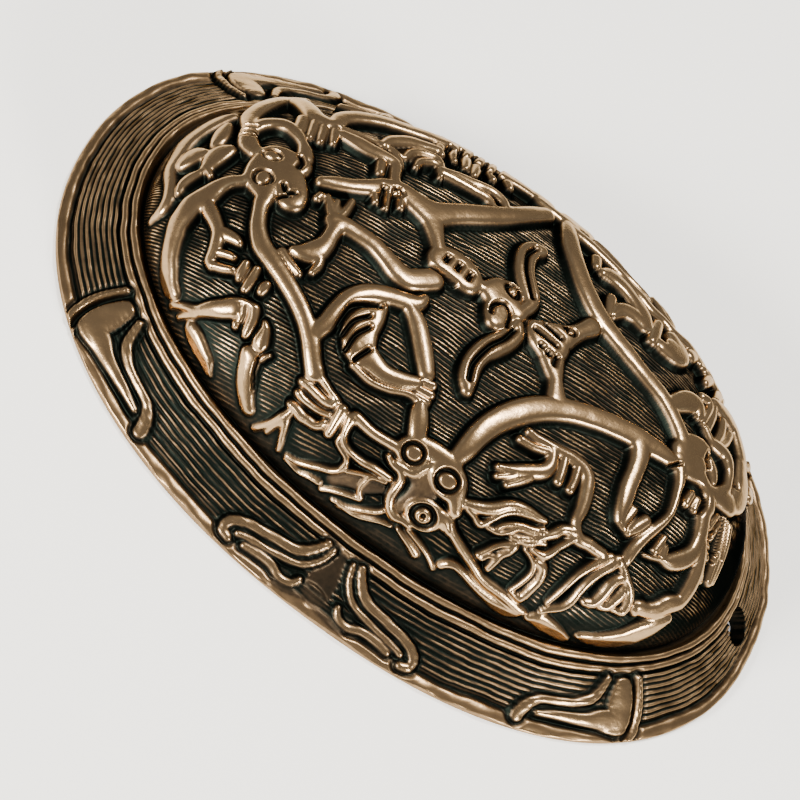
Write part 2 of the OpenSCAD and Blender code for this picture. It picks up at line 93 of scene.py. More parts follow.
# Rim, in parts of the slope from the lip: first fine ridge and spacing, rounded lip and smooth ridges as
# [middle, half width], grooves as [middle, width]
FIRST_RIDGE = 0.235
RIDGE_SPACING = 0.07
RIM_LIP = [0.07, 0.1]
RIM_FOLDS = [[0.865, 0.05], [0.985, 0.05]]
RIM_GROOVES = [[0.2, 0.022], [0.805, 0.016], [0.925, 0.02]]
# Height of the rim's masks, and the level their charts lie at
MASK_HEIGHT = 0.85
MASK_LEVEL = 0.3

# Charts: step of the curves through them, least half width, and about millimetres per unit on the rim
CHART_STEP = 0.5
THINNEST = 0.12
RIM_CHART_SCALE = [0.8, 10, 1]

# Tones, from 0 for black tarnish to 1 for bare metal: hidden parts, and what a rubbed edge adds, a bright
# ring that is partly worn metal and partly a painted highlight
LIP_TONE = 0.6
UNDER_TONE = 0.3
HOLLOW_TONE = 0.25
EDGE_RUB_AND_HIGHLIGHT = 0.13
# What the material adds: the crests of the hatching, clouds and specks
HATCH_TONE = 0.72
CLOUD_TONE = 0.28
SPECK_TONE = 0.16

# The view: where the camera stands, how it is rolled, and its lens
VIEW_AZIMUTH, VIEW_ELEVATION, VIEW_ROLL = -13.95, 45.4, 46.84
VIEW_DISTANCE = 581.5
VIEW_SIDE, VIEW_UP = -2.91, 0.31
LENS = 201.49
SENSOR = 36.0

# Broad bands of the relief: rows of [x, y, half width]
BANDS = [
    # Left mask: eyes and brow, snout, chin
    [[-37.2, -3.3, 1.5], [-36.7, -1.2, 2.2], [-36.3, 1.0, 2.1], [-34.8, 1.3, 1.9], [-33.2, 1.3, 1.6]],
    [[-36, -1, 2.2], [-33.8, -1.5, 2.2], [-32.4, -3.3, 2.0], [-32, -4.4, 1.8]],
    [[-36.2, -3.3, 2.2], [-35.2, -5.0, 1.4], [-34.8, -6.2, 1.0]],
    # Bow that rings the left end, from the left mask to the claws at the rim
    [[-38.3, -4.6, 0.76], [-39.4, -5.2, 0.83], [-40.2, -6.4, 1.04], [-40.7, -7.7, 1.35],
     [-41.2, -8.8, 1.48], [-41.7, -9.8, 1.49], [-41.8, -11, 1.45], [-41.8, -12.3, 1.41],
     [-41.4, -13.6, 1.32], [-40.9, -14.9, 1.27], [-40.2, -16.3, 1.27], [-39.4, -17.5, 1.36],
     [-38.6, -18.5, 1.29], [-37.8, -19.3, 1.16], [-37.2, -19.8, 0.88]],
    [[-30.8, -20.9, 1.18], [-31.8, -21.2, 1.13], [-32.9, -21.4, 0.95], [-34.1, -21.7, 0.55]],
    [[-34.1, -21.5, 0.46], [-35.4, -21.1, 0.43], [-36.5, -20.7, 0.35]],
    [[-33.8, -21.9, 0.39], [-34.4, -21.9, 0.35], [-35, -21.8, 0.29]],
    # Forearm off the bow
    [[-40.3, -9.4, 0.87], [-39.3, -10.5, 0.9], [-38.2, -11.7, 0.77], [-37.3, -12.9, 0.78],
     [-36.8, -14.2, 0.76], [-36.5, -15.4, 0.64], [-36.3, -16.4, 0.55], [-35.7, -17, 0.5]],
    # Long body from the left mask to the near mask
    [[-34.9, -6.8, 0.92], [-34.4, -8.6, 0.87], [-33.6, -10.6, 0.97], [-32.2, -12.5, 1.12],
     [-30.2, -13.9, 1.12], [-27.6, -15.5, 1.07], [-25, -17.2, 1.02], [-22.8, -18.9, 1.02],
     [-21, -20.6, 1.07], [-19.6, -22.3, 1.02], [-18.2, -23.8, 1.02]],
    # Arm between the left mask and the middle, with its paw
    [[-25.5, -4.6, 1.12], [-25.5, -6.5, 0.92], [-25.6, -8.5, 1.12], [-26.3, -10.2, 1.42],
     [-27.4, -11.1, 1.02], [-28.5, -11.4, 0.52]],
    [[-26, -4.2, 1.2], [-23.5, -4, 1.15], [-20.5, -4.2, 1.15], [-18, -5, 1.25], [-16, -5.8, 1.4],
     [-14.3, -5.7, 1.45], [-12.9, -4.6, 1.45], [-11.6, -3.3, 1.4]],
    [[-29.9, 0.6, 0.65], [-28.2, 1.6, 0.95], [-26.2, 2.7, 1], [-24.2, 4.2, 1.1], [-22.4, 5.8, 1.25],
     [-20.5, 6.6, 1.35], [-18, 6.3, 1.65], [-16, 6.2, 2.05]],
    # Body that runs up to the far mask
    [[-1.6, 21.8, 1.05], [-3.4, 19.4, 1.15], [-5.6, 16.4, 1.2], [-7.8, 13.9, 1.3], [-10, 11.7, 1.4],
     [-12.2, 9.7, 1.45], [-14, 7.9, 1.55], [-15.4, 6.2, 1.85], [-15, 5, 1.45], [-13.8, 3.2, 1.05],
     [-12.8, 1.6, 0.85]],
    # Paw that grips left of the middle mask
    [[-11.4, 0.4, 2.2], [-10.2, 0.6, 2.5], [-8.9, 0.6, 2.5], [-7.8, 0.4, 2.2]],
    # Middle mask: muzzle, cheeks and neck
    [[-4.3, 1, 1.4], [-3.2, 2.0, 1.9], [-1.9, 2.8, 1.7]],
    [[-4.2, 0.9, 1.3], [-2.8, 0.7, 1.9], [-1.2, 0.8, 1.7], [0.4, 0.8, 0.9]],
    [[-2.4, 0, 1.9], [-2.0, -1.5, 1.9], [-2.1, -2.8, 1.2]],
    # Far ear and near ear of the middle mask
    [[0.2, 0.4, 0.8], [0.8, 2, 0.8], [1.2, 3.6, 0.9], [0.6, 4.8, 1.3], [-0.6, 6.3, 1.4], [-1.7, 8.3, 1.4],
     [-2.1, 10.5, 1.35], [-1.7, 12.2, 1.2], [-0.5, 13.2, 0.7]],
    [[0.9, -0.9, 0.7], [1.1, -2.4, 1.1], [0.4, -4.3, 1.4], [-0.6, -6.3, 1.45], [-1.6, -8.4, 1.3],
     [-2, -10.8, 1.25], [-1.7, -13, 1.2], [-1, -14.8, 0.7]],
    # Small face right of the middle mask and its two arms
    [[2.6, 0.8, 0.6], [4.0, 0.3, 1.8], [5.3, 0.2, 2.6], [6.2, 0.2, 2.2]],
    [[6.6, 2, 1.9], [7.8, 3.6, 1.2], [8.8, 5.4, 1], [9.8, 7.2, 1.2]],
    [[6.6, -1.6, 1.85], [7.6, -3.2, 1.35], [8.6, -4.8, 0.95], [9.6, -6.8, 1.25]],
    # Body from the far mask to the right mask
    [[1.8, 22.8, 1.05], [2.4, 20.4, 1.25], [3.2, 18, 1.35], [4.6, 15.6, 1.35], [6.4, 13.2, 1.4],
     [8.4, 11.2, 1.45], [10.6, 9.6, 1.45], [13, 8.6, 1.35], [16, 7.6, 1.25], [19, 6.6, 1.15],
     [22, 5.9, 1.2], [24.5, 4.7, 1.15], [27, 3, 1.15], [28.5, 1.8, 1.35]],
    # Arch from the near mask to the right mask
    [[2.5, -23, 0.9], [2.8, -21.5, 1.2], [3.2, -19, 1.35], [4, -16.5, 1.45], [5.3, -14, 1.55],
     [7, -11.6, 1.6], [9.2, -9.3, 1.6], [11.8, -7.4, 1.5], [14.6, -5.9, 1.5], [17.6, -4.6, 1.5],
     [20.5, -3.6, 1.5], [23.5, -2.8, 1.4], [26, -2.2, 1.2], [28, -1.9, 0.8]],
    # Right mask: brow, cheeks, jaw
    [[28.3, 0.6, 1.5], [29.3, 2.2, 2.0], [30.4, 3.4, 1.7], [31.3, 4.1, 1.1]],
    [[28.6, -0.6, 1.3], [30, 0.3, 2.0], [31, 0.8, 1.8]],
    [[30.2, -0.7, 1.5], [31.8, -0.2, 1.3], [33.4, -0.4, 1.0], [34.8, -1, 1.1], [35.4, -2.2, 1.15],
     [35.4, -3.6, 1.0]],
    [[34.6, -0.4, 0.9], [36, 0.2, 1.1], [37.4, 1, 1.4], [38.5, 1.6, 1.45]],
    [[28.9, -1.4, 0.9], [29.9, -3.4, 0.7], [30.5, -6, 0.5], [30.8, -8.4, 0.42], [30.5, -10.2, 0.5],
     [29.9, -12, 0.59], [29.3, -13.9, 0.65], [28.8, -15.8, 0.75], [28.7, -17.4, 0.75],
     [28.9, -17.8, 0.48]],
    [[35.3, -4, 1.1], [36.4, -6.6, 1.1], [36.7, -8.8, 1.15], [36.3, -10.4, 1.2], [35.6, -11.6, 1.2],
     [34.6, -12.8, 1.03], [33.7, -13.5, 0.63], [33, -13.9, 0.32], [31.6, -14.9, 0.19],
     [30.5, -15.5, 0.13]],
    # Arm with fingers below the right mask
    [[22.2, -3.2, 1.4], [23.2, -5.2, 1.3], [23.6, -7.6, 1.1], [23.8, -10, 1.1], [24.2, -12, 1.05],
     [24.6, -14, 0.7], [25, -15, 0.45]],
    [[28.2, -12.2, 0.7], [27.5, -13.8, 0.75], [26.9, -15.3, 0.4]],
    # Bow that rings the right end
    [[37.2, -7.4, 0.9], [38.6, -9.8, 0.95], [39.1, -12, 1.02], [39.1, -14, 1.05], [38.6, -14.9, 1.1],
     [37.6, -16.1, 1.26], [36.8, -17.4, 1.18], [35.4, -18.7, 0.94], [34.2, -19.4, 0.85],
     [34.3, -19.9, 0.44]],
    # Ring of limbs beyond the right mask
    [[32.4, 6.8, 0.6], [33.6, 7.2, 0.85], [34.9, 7.4, 0.97], [35.7, 6.9, 1.08], [36.4, 6, 0.85],
     [36.8, 4.3, 0.62], [36.9, 2.6, 0.8], [36.1, 0.6, 1.0]],
    [[38.4, 9.6, 1.5], [39.4, 6.6, 1.8], [39.5, 4, 1.8], [38.8, 1.8, 0.9]],
    [[30.8, 13.8, 1.0], [33, 14.8, 1.5], [35.4, 15.2, 1.8], [37.2, 13, 1.7], [38.2, 10.5, 1.3]],
    [[24.1, 5.5, 0.99], [25.1, 7.2, 1.27], [26.4, 8.9, 1.5], [27.7, 9.7, 1.4], [28.4, 8.9, 1.04],
     [28.4, 7.9, 0.38]],
    [[28.2, 12.2, 0.56], [29.3, 12.7, 0.6], [29.9, 11.8, 0.56], [29.8, 9.8, 0.42], [29.6, 7.7, 0.34]],
    # Second beast: long arm from the near side to the right paw
    [[10.4, -13.9, 0.5], [13, -13.5, 0.7], [15, -13, 0.75], [17, -12.9, 0.8], [18.4, -13.7, 0.85],
     [19.2, -15.4, 0.85], [19.8, -17.4, 0.75], [20, -19.1, 0.6], [20.5, -19.8, 0.56], [21.1, -20.3, 0.61],
     [21.9, -20.5, 0.73], [23.1, -20.1, 0.72], [24.3, -19.9, 0.68], [25.4, -19.6, 0.64]],
    [[12.6, -14.2, 0.7], [13.2, -15.8, 0.75], [12.8, -17.2, 0.9], [11.4, -18.4, 0.9], [10, -19.4, 0.8],
     [8.4, -20.2, 0.4], [7.5, -20.6, 0.3]],
    # Hip loop between the long body and the near mask
    [[-21, -19.9, 1], [-20.4, -18, 1], [-20.1, -15.6, 1.05], [-19.5, -13.4, 1.1], [-18, -11.4, 1.15],
     [-15.8, -10, 1.15], [-13.2, -9, 1.1], [-11.8, -8.1, 0.9], [-11.3, -6.9, 0.5]],
    [[-12.6, -9.4, 0.8], [-10.9, -10.6, 1.1], [-9.2, -12.6, 1.15], [-7.6, -14.7, 1.15],
     [-6.5, -16.3, 1.0]],
    [[-5, -20.4, 0.7], [-4.6, -21.2, 1.0], [-3.8, -22.6, 1.1], [-3.1, -24, 0.9]],
    [[-15.3, -12, 0.5], [-15.9, -14, 1.5], [-16.3, -16.4, 2.1], [-15.2, -18.6, 2.0], [-13.2, -19.2, 1.4],
     [-11, -19.6, 1.1], [-9, -19.2, 1.0], [-7, -18.3, 0.8]],
    # Left collar and the bow that rings the far left
    [[-38.9, 1.2, 0.95], [-39.9, 2.3, 1.25], [-40.5, 3.9, 1.05], [-40.7, 5.6, 0.95], [-41.2, 8, 1.15],
     [-40.8, 10.5, 1.2], [-40, 13, 1.25], [-39, 15.5, 1.25], [-37.6, 18, 1.15], [-35.6, 20, 0.95]],
    [[-40.3, 5, 0.8], [-39.7, 6.6, 1], [-38.4, 7.9, 1], [-36.8, 8.1, 0.9], [-35.4, 7.3, 0.8],
     [-34.2, 5.8, 0.6], [-33.4, 4.4, 0.9], [-33, 3, 1]],
    [[-36.6, 17, 1.1], [-35.4, 14.6, 1.2], [-34.2, 12.6, 1.3], [-32.6, 12, 1.1]],
    # Far body from the left mask to the far collar
    [[-31.6, 12.6, 1], [-31.1, 15, 1.2], [-29.2, 17.4, 1.35], [-26.4, 19.4, 1.4], [-23.2, 20.9, 1.4],
     [-20, 22.2, 1.4], [-17.6, 23.4, 1.5]],
    # Far leg and hip
    [[-30.2, 11, 0.8], [-27.5, 10.8, 1.1], [-24.8, 10.8, 1], [-22.8, 10.7, 0.8], [-22.1, 8.6, 0.65],
     [-21.7, 7.2, 0.7]],
    [[-25.2, 13, 0.6], [-24.2, 15.2, 0.9], [-22, 17.4, 1], [-19.8, 18.7, 0.9], [-18.2, 19.4, 0.7]],
    [[-17, 14.9, 0.6], [-14.6, 16, 0.7], [-12, 16.9, 0.7], [-9.8, 17.6, 0.65], [-8, 17.2, 0.6],
     [-7.2, 16.2, 0.4]],
    [[-16.8, 14.5, 0.6], [-14.4, 15, 0.6], [-12, 15.4, 0.6], [-10, 15.5, 0.6], [-8.9, 14.7, 0.4]],
    # Far paws right of the far mask
    [[2.4, 22.8, 1.0], [5, 22.8, 1.0], [8.4, 22.2, 0.9], [11.2, 21.4, 0.8], [13, 20.4, 0.9],
     [15, 20.2, 1.0], [17, 19.6, 1.0], [18.8, 19.8, 0.8], [21, 19.4, 0.9], [23.2, 20, 0.9],
     [25.4, 20.2, 1.2]],
    [[8.4, 18, 0.7], [10, 19, 1.4], [12, 18.8, 1.4], [14, 17.8, 1.3], [15.6, 16.6, 1.5],
     [16.3, 15.2, 1.4]],
    [[11.8, 11.8, 0.5], [12.6, 13.8, 1.05], [14.2, 14.8, 1.25], [16, 14.9, 1.35]],
    [[18.5, 17.6, 0.7], [18.4, 15.4, 0.8], [18.2, 13.2, 0.7]],
    [[20, 13.8, 1.15], [21.6, 14.8, 1.95], [22.6, 16.2, 1.95], [21.4, 17.4, 1.35]],
]

# Bands along the foot of the dome, also used mirrored on the far side
EDGE_BANDS = [
    # Near mask: lip, nose, chin and eye sockets
    [[-2.8, -24.2, 0.9], [-0.6, -23.9, 1.1], [2.4, -24, 1.3]],
    [[-2.9, -25.4, 1.75], [-2.1, -25.4, 1.75]],
    [[1.8, -25.2, 1.6], [3.3, -25.5, 2.2], [5.2, -26.4, 1.1], [6.3, -27.4, 0.7]],
    [[2.6, -29.3, 1.75], [3.9, -29.3, 1.8], [5.6, -28.6, 0.9], [7.2, -29, 0.4]],
    [[-4.7, -27, 0.2], [-3.8, -27.4, 0.26], [-3.1, -27.5, 0.28], [-2.3, -27.6, 0.31], [-1.6, -28.1, 0.39],
     [-1.5, -28.9, 0.5], [-1.4, -29.6, 0.49], [-0.7, -30.2, 0.47], [0.5, -30.5, 0.55], [1.7, -30.4, 0.42],
     [2.7, -30.4, 0.34]],
    # Lip band to the second beast's wing, and the wing's roots
    [[6.8, -26.2, 0.46], [8, -25.8, 0.62], [9.2, -25.3, 0.71], [10.2, -24.6, 0.71], [11.3, -23.5, 0.62],
     [12.4, -22.8, 0.58], [13.9, -22.4, 0.55], [15.4, -22.2, 0.48], [16.5, -21.9, 0.28]],
    [[17.1, -23.9, 0.28], [17.8, -23, 0.45], [18.6, -22.1, 0.56], [19.2, -21.1, 0.56], [20.6, -20.4, 0.7]],
    [[17.3, -25, 0.2], [18.1, -24.9, 0.26], [19.1, -24.6, 0.45], [19.6, -24, 0.42], [20, -23, 0.33],
     [20.5, -22.1, 0.33], [21, -21, 0.4]],
    # Jaw bands left of the near mask
    [[-10.8, -25.6, 0.6], [-8, -26, 0.55], [-5, -25.9, 0.55], [-3.8, -25.8, 0.6]],
    [[-11.2, -26, 0.6], [-10.9, -27.2, 0.42], [-10.3, -28, 0.33], [-8.9, -28.5, 0.24], [-6.8, -28.7, 0.3],
     [-5.2, -28.6, 0.34], [-2.9, -28.6, 0.33]],
    # Collar ribs and the bar beside them
    [[-18, -23.6, 0.85], [-17.3, -23.9, 0.46], [-16.3, -24.3, 0.42], [-15.3, -24.7, 0.35],
     [-13.8, -25.2, 0.27]],
    [[-18.7, -25.1, 0.42], [-17.5, -25.3, 0.46], [-16.2, -25.6, 0.44], [-15.1, -25.8, 0.42],
     [-14.2, -25.7, 0.46], [-14.1, -25.3, 0.38]],
    [[-18.2, -26.2, 0.45], [-17.2, -26.5, 0.37], [-16, -26.7, 0.31], [-14.9, -26.8, 0.28],
     [-13.7, -26.7, 0.23]],
    [[-18.1, -27.3, 0.47], [-17.2, -27.5, 0.59], [-16.3, -27.8, 0.63], [-15.3, -27.9, 0.57],
     [-14.3, -28, 0.49], [-13.7, -27.8, 0.46], [-13.6, -27.5, 0.31]],
    [[-12.7, -25.7, 0.61], [-12.5, -27, 0.55], [-12.3, -28.1, 0.45]],
    # Paw, claw, leg and leaf at the left foot
    [[-31.6, -20.3, 0.31], [-30.8, -20, 0.28], [-30.1, -19.9, 0.3], [-29.3, -20, 0.33],
     [-28.6, -20.1, 0.39]],
    [[-26.6, -21.2, 0.19], [-26.1, -21.8, 0.48], [-25.8, -22.7, 0.78], [-25.6, -23.3, 0.9],
     [-25.3, -23.7, 0.55]],
    [[-26, -24.5, 0.88], [-25.5, -24.9, 1.2], [-25.1, -25.5, 1.12], [-24.8, -26, 1.1], [-24, -26.8, 1.11],
     [-23.2, -27.4, 1.04], [-22.4, -27.9, 0.92], [-21.8, -28.2, 0.84]],
    [[-33.1, -22.9, 0.87], [-32.2, -23.5, 1.14], [-31.1, -24.2, 1.14], [-30.1, -24.8, 1.06],
     [-29.2, -25.3, 0.91], [-28.4, -25.8, 0.55], [-27.8, -26.1, 0.2]],
    # Fan of claws and crescent at the right foot
    [[23.5, -26.7, 0.17], [23.8, -25.7, 0.22], [24.1, -24.5, 0.27], [24.5, -23.1, 0.32],
     [25.2, -21.6, 0.4], [26, -20.2, 0.47], [26.7, -19.1, 0.49]],
    [[23.7, -27.1, 0.29], [24.7, -26.4, 0.39], [25.5, -25.8, 0.44], [26, -25, 0.42], [26, -24.1, 0.41],
     [26.1, -23.2, 0.41], [26.4, -22.1, 0.4], [26.9, -20.9, 0.42], [27.4, -20, 0.53], [27.7, -19, 0.71]],
    [[27.5, -24, 0.4], [28.5, -23.4, 0.62], [28.9, -22.6, 0.7], [29, -21.9, 0.7], [29, -21, 0.7],
     [29.3, -20.1, 0.62], [29.9, -19.4, 0.5]],
    [[29.6, -22.9, 0.4], [30.5, -22.3, 0.55], [30.8, -21.5, 0.62], [31, -20.8, 0.62], [31, -20.1, 0.5]],
    [[31.4, -21.9, 0.29], [32.8, -21.1, 0.49], [32.8, -20.6, 0.59], [32.3, -19.9, 0.59],
     [31.4, -19.4, 0.54], [30.2, -19.1, 0.5], [29.1, -18.7, 0.44], [27.8, -18.4, 0.39]],
    [[30.2, -24.8, 0.5], [32, -23.8, 1.0], [34.2, -22.3, 1.5], [35.8, -20.9, 1.75], [37.1, -19.3, 1.65],
     [38.1, -17.8, 1.3], [39, -16.4, 0.7]],
    # Leg from the near mask along the foot, and its spur
    [[6.5, -28.3, 0.39], [7.4, -28.8, 0.46], [8.9, -29.1, 0.48], [10.6, -29.3, 0.49], [12.3, -29.4, 0.49],
     [13.9, -29.5, 0.5], [15.4, -29.4, 0.61], [17.2, -29.1, 0.62], [19, -28.8, 0.64], [20.7, -28.5, 0.66],
     [21.7, -28.2, 0.47]],
    [[9.3, -30.7, 0.47], [9.9, -30.4, 0.56], [10.7, -30.2, 0.49], [11.9, -30.1, 0.47], [13.7, -30, 0.52],
     [15.6, -29.8, 0.59], [17.4, -29.5, 0.75], [18.8, -29.2, 0.96], [20.3, -28.8, 0.96],
     [21.1, -28.5, 0.68]],
    [[22.9, -27.9, 0.56], [24.1, -27.4, 1.08], [25.4, -27, 1.16], [26.8, -26.5, 1.01], [28.1, -26, 0.75],
     [29, -25.6, 0.44]],
    # Claw curled above the leg
    [[18.9, -25.5, 0.31], [19.8, -25.4, 0.52], [20.3, -25.7, 0.5], [20.6, -26.4, 0.51],
     [20.5, -27.1, 0.52], [20.4, -27.8, 0.55], [20.2, -28.1, 0.55], [19.3, -28.3, 0.28],
     [18.5, -28.4, 0.2]],
]

# Fingers, claws, leaves and knobs: rows of [x, y, half width]
FINGERS = [
    # Leaf and buds at the left end
    [[-42.8, 8, 0.5], [-43.7, 7.2, 1.0], [-44.6, 5.7, 1.17], [-45.6, 3.3, 1.3], [-46, 1.7, 1.4],
     [-46.1, -0.5, 1.25], [-46, -3.6, 0.9], [-45, -6.7, 0.79], [-44.3, -8.9, 0.8], [-44.2, -10.2, 0.7],
     [-44.4, -11, 0.34]],
    [[-43, 5.3, 0.56], [-43.1, 3.7, 1.0], [-43.1, 2.1, 1.0], [-43.2, 1, 0.6]],
    [[-45.2, -3, 0.8], [-44.9, -2, 1.3], [-44.5, -1.3, 1.3], [-43.8, -1.1, 0.8]],
    [[-42.6, -3.3, 0.81], [-42.5, -2.1, 1.3], [-42.1, -0.7, 1.4], [-41.5, 0.1, 0.9]],
    [[-42.9, -3.7, 0.35], [-42.2, -4.3, 0.39], [-41.8, -4.9, 0.25]],
    [[-43.8, -7.9, 0.33], [-44, -6.7, 0.62], [-43.7, -5.7, 0.69], [-43.1, -4.8, 0.45], [-43, -4.3, 0.25]],
    # Fingers on the forearm at the left
    [[-37.3, -12.7, 0.8], [-36.1, -12.9, 0.74], [-35.2, -13.1, 0.59], [-34.6, -13.4, 0.38]],
    [[-36.7, -15.3, 0.47], [-35.6, -15.3, 0.42], [-34.7, -15.3, 0.39], [-34.1, -15.4, 0.28]],
    [[-36.3, -16.5, 0.5], [-35.5, -16.9, 0.48], [-34.4, -17, 0.44], [-33.5, -16.9, 0.36]],
    [[-32.5, -15.6, 0.38], [-32.4, -16.4, 0.53], [-32.3, -17.2, 0.48], [-32.2, -17.6, 0.31]],
    [[-31, -15.8, 0.35], [-30.9, -16.8, 0.45], [-30.9, -17.7, 0.46], [-30.9, -18.6, 0.33]],
    [[-29, -17.1, 0.38], [-29.1, -17.6, 0.53], [-29.1, -18.2, 0.38]],
    [[-30.8, -20, 0.31], [-30, -20.9, 0.33], [-29.2, -21.8, 0.24]],
    [[-30, -20, 0.25], [-29.5, -20.8, 0.25], [-29.2, -21.4, 0.19]],
    [[-28.6, -20.3, 0.62], [-28.2, -21, 0.59], [-27.9, -21.9, 0.57], [-27.7, -22.7, 0.49],
     [-27.6, -23, 0.36]],
    [[-29.4, -22.2, 0.32], [-29.2, -22.5, 0.28]],
    [[-24.3, -24.7, 0.23], [-24.1, -24.3, 0.19], [-23.8, -24.1, 0.12]],
    # Bar under the paw, thumb and fingers by the left mask
    [[-29.6, -12.3, 0.5], [-28.2, -13.2, 0.5], [-26.5, -14, 0.35]],
    [[-25.6, -10, 0.7], [-25, -11.6, 0.5], [-25.2, -13, 0.3]],
    [[-26, -4.4, 0.8], [-27, -3, 0.6], [-28.2, -1.3, 0.35]],
    [[-25.8, -3.8, 0.6], [-25.4, -1.8, 0.45], [-25.3, 0.1, 0.35]],
    [[-29.1, -1.7, 0.45], [-29.3, -2.3, 0.45]],
    [[-26.9, -1.2, 0.3], [-26.5, -3.1, 0.4]],
    [[-23.6, 4, 0.5], [-22.7, 2.4, 0.35]],
    [[-22, 5, 0.45], [-21.3, 2.4, 0.35]],
    [[-20, 5.5, 0.6], [-19.6, 4, 0.4]],
    # Fingers over the hip loop
    [[-6.5, -17.6, 0.35], [-5, -17.2, 0.4]],
    [[-6.5, -18.7, 0.35], [-4.6, -18.4, 0.4]],
    [[-6.3, -19.6, 0.35], [-4.6, -19.5, 0.4]],
    # Fingers of the second beast
    [[8.7, -14, 0.45], [10.4, -13.9, 0.5]],
    [[8.2, -15.7, 0.45], [10, -15.4, 0.45], [11.8, -14.6, 0.55], [12.6, -14.4, 0.6]],
    [[10, -19.6, 0.6], [9.2, -20.6, 0.4], [8, -21.6, 0.3]],
    [[11.6, -19, 0.6], [10.8, -20.4, 0.4], [9.7, -21.7, 0.3]],
    [[14.4, -13.6, 0.5], [14.9, -15.4, 0.5], [15.2, -16.9, 0.5]],
    [[16.6, -13.6, 0.5], [17, -15.4, 0.45], [17.1, -16.7, 0.45]],
    [[26, -12.4, 0.45], [25.7, -14.8, 0.4]],
    [[31.7, -11.7, 0.34], [31.6, -12.7, 0.43], [31.5, -13.9, 0.43]],
    [[32.6, -12.6, 0.5], [33, -13.8, 0.5]],
    [[32.25, -3.5, 0.48], [32.1, -5.3, 0.5]],
    [[33.5, -3.3, 0.46], [33.65, -4.9, 0.45]],
    [[32.6, 3.3, 0.74], [33.4, 2.7, 0.98], [34.2, 1.9, 0.73], [34.6, 1.4, 0.35]],
    # Feathers below the right mask
    [[38.6, -1.3, 0.45], [39.4, -3.6, 0.55], [40.1, -6, 0.5], [40.9, -9, 0.4]],
    [[39.4, -1, 0.4], [40.2, -3.4, 0.5], [40.8, -6, 0.45], [41.4, -9, 0.4]],
    [[40.1, -0.8, 0.35], [40.9, -3.2, 0.4], [41.4, -5.6, 0.4], [41.8, -8.4, 0.35]],
    [[37.5, -1.9, 0.3], [37.2, -3.4, 0.3], [37, -4.7, 0.25]],
    [[38, -2.6, 0.25], [38, -4.4, 0.35], [37.8, -6, 0.35]],
    [[38, -6.6, 0.3], [38.9, -7.9, 0.3]],
    [[38.4, -8.2, 0.25], [39.4, -9.6, 0.3], [39.9, -10.4, 0.3]],
    # Far hands and knobs
    [[-35.5, 11, 0.7], [-35.4, 9, 0.7], [-35.4, 7.6, 0.6]],
    [[-34, 11.5, 0.5], [-33.9, 9, 0.4], [-33.8, 7.4, 0.35]],
    [[-32.9, 12, 0.5], [-32.6, 9.6, 0.5], [-32.4, 7.6, 0.4]],
    [[-31.6, 12.4, 0.5], [-31.1, 10, 0.5], [-30.9, 8.4, 0.35]],
    [[-24.3, 9.4, 0.6], [-24, 7.6, 0.5]],
    [[-22, 13, 0.3], [-21.4, 15.2, 0.45], [-19.8, 16.6, 0.5], [-18, 16.9, 0.5], [-17, 15, 0.5],
     [-16.8, 13.6, 0.3]],
    [[-20.2, 12.6, 0.3], [-19.9, 14.2, 0.45], [-18.6, 15.5, 0.5], [-17.6, 15.6, 0.5]],
    [[-18.2, 20.8, 0.6], [-17.8, 18.6, 0.4]],
    [[-16.4, 21, 0.6], [-15.9, 19.1, 0.4]],
    [[-14.4, 21.4, 0.6], [-14.2, 19.1, 0.4]],
    [[-12.7, 21, 0.6], [-12.8, 18.6, 0.4]],
    [[-10.6, 22, 0.6], [-10.2, 20.7, 0.4]],
    [[-8, 22.8, 0.6], [-7.6, 21.6, 0.4]],
    [[7, 20.2, 0.7], [7.2, 18.4, 0.6]],
    [[10.8, 14.6, 0.6], [11, 13, 0.6], [11.2, 11.2, 0.3]],
    [[30.6, 13, 0.6], [30.8, 11, 0.6], [30.7, 8, 0.4]],
    [[32.8, 12.6, 0.6], [33, 10, 0.6], [32.6, 7.2, 0.4]],
    [[34.6, 12, 0.6], [34.2, 9.4, 0.5], [33.2, 7.2, 0.4]],
    [[30.4, 7.4, 0.5], [32, 6.6, 0.6], [33.6, 6.8, 0.6]],
    [[42.3, 12, 0.5], [42.4, 10, 0.9], [41.9, 8.2, 0.6]],
    [[29, 18.6, 0.8], [28.3, 16, 0.5]],
    [[31.4, 18, 0.7], [30.8, 15, 0.5]],
    [[25.6, 20.4, 1.1], [24.8, 18.4, 0.9]],
]

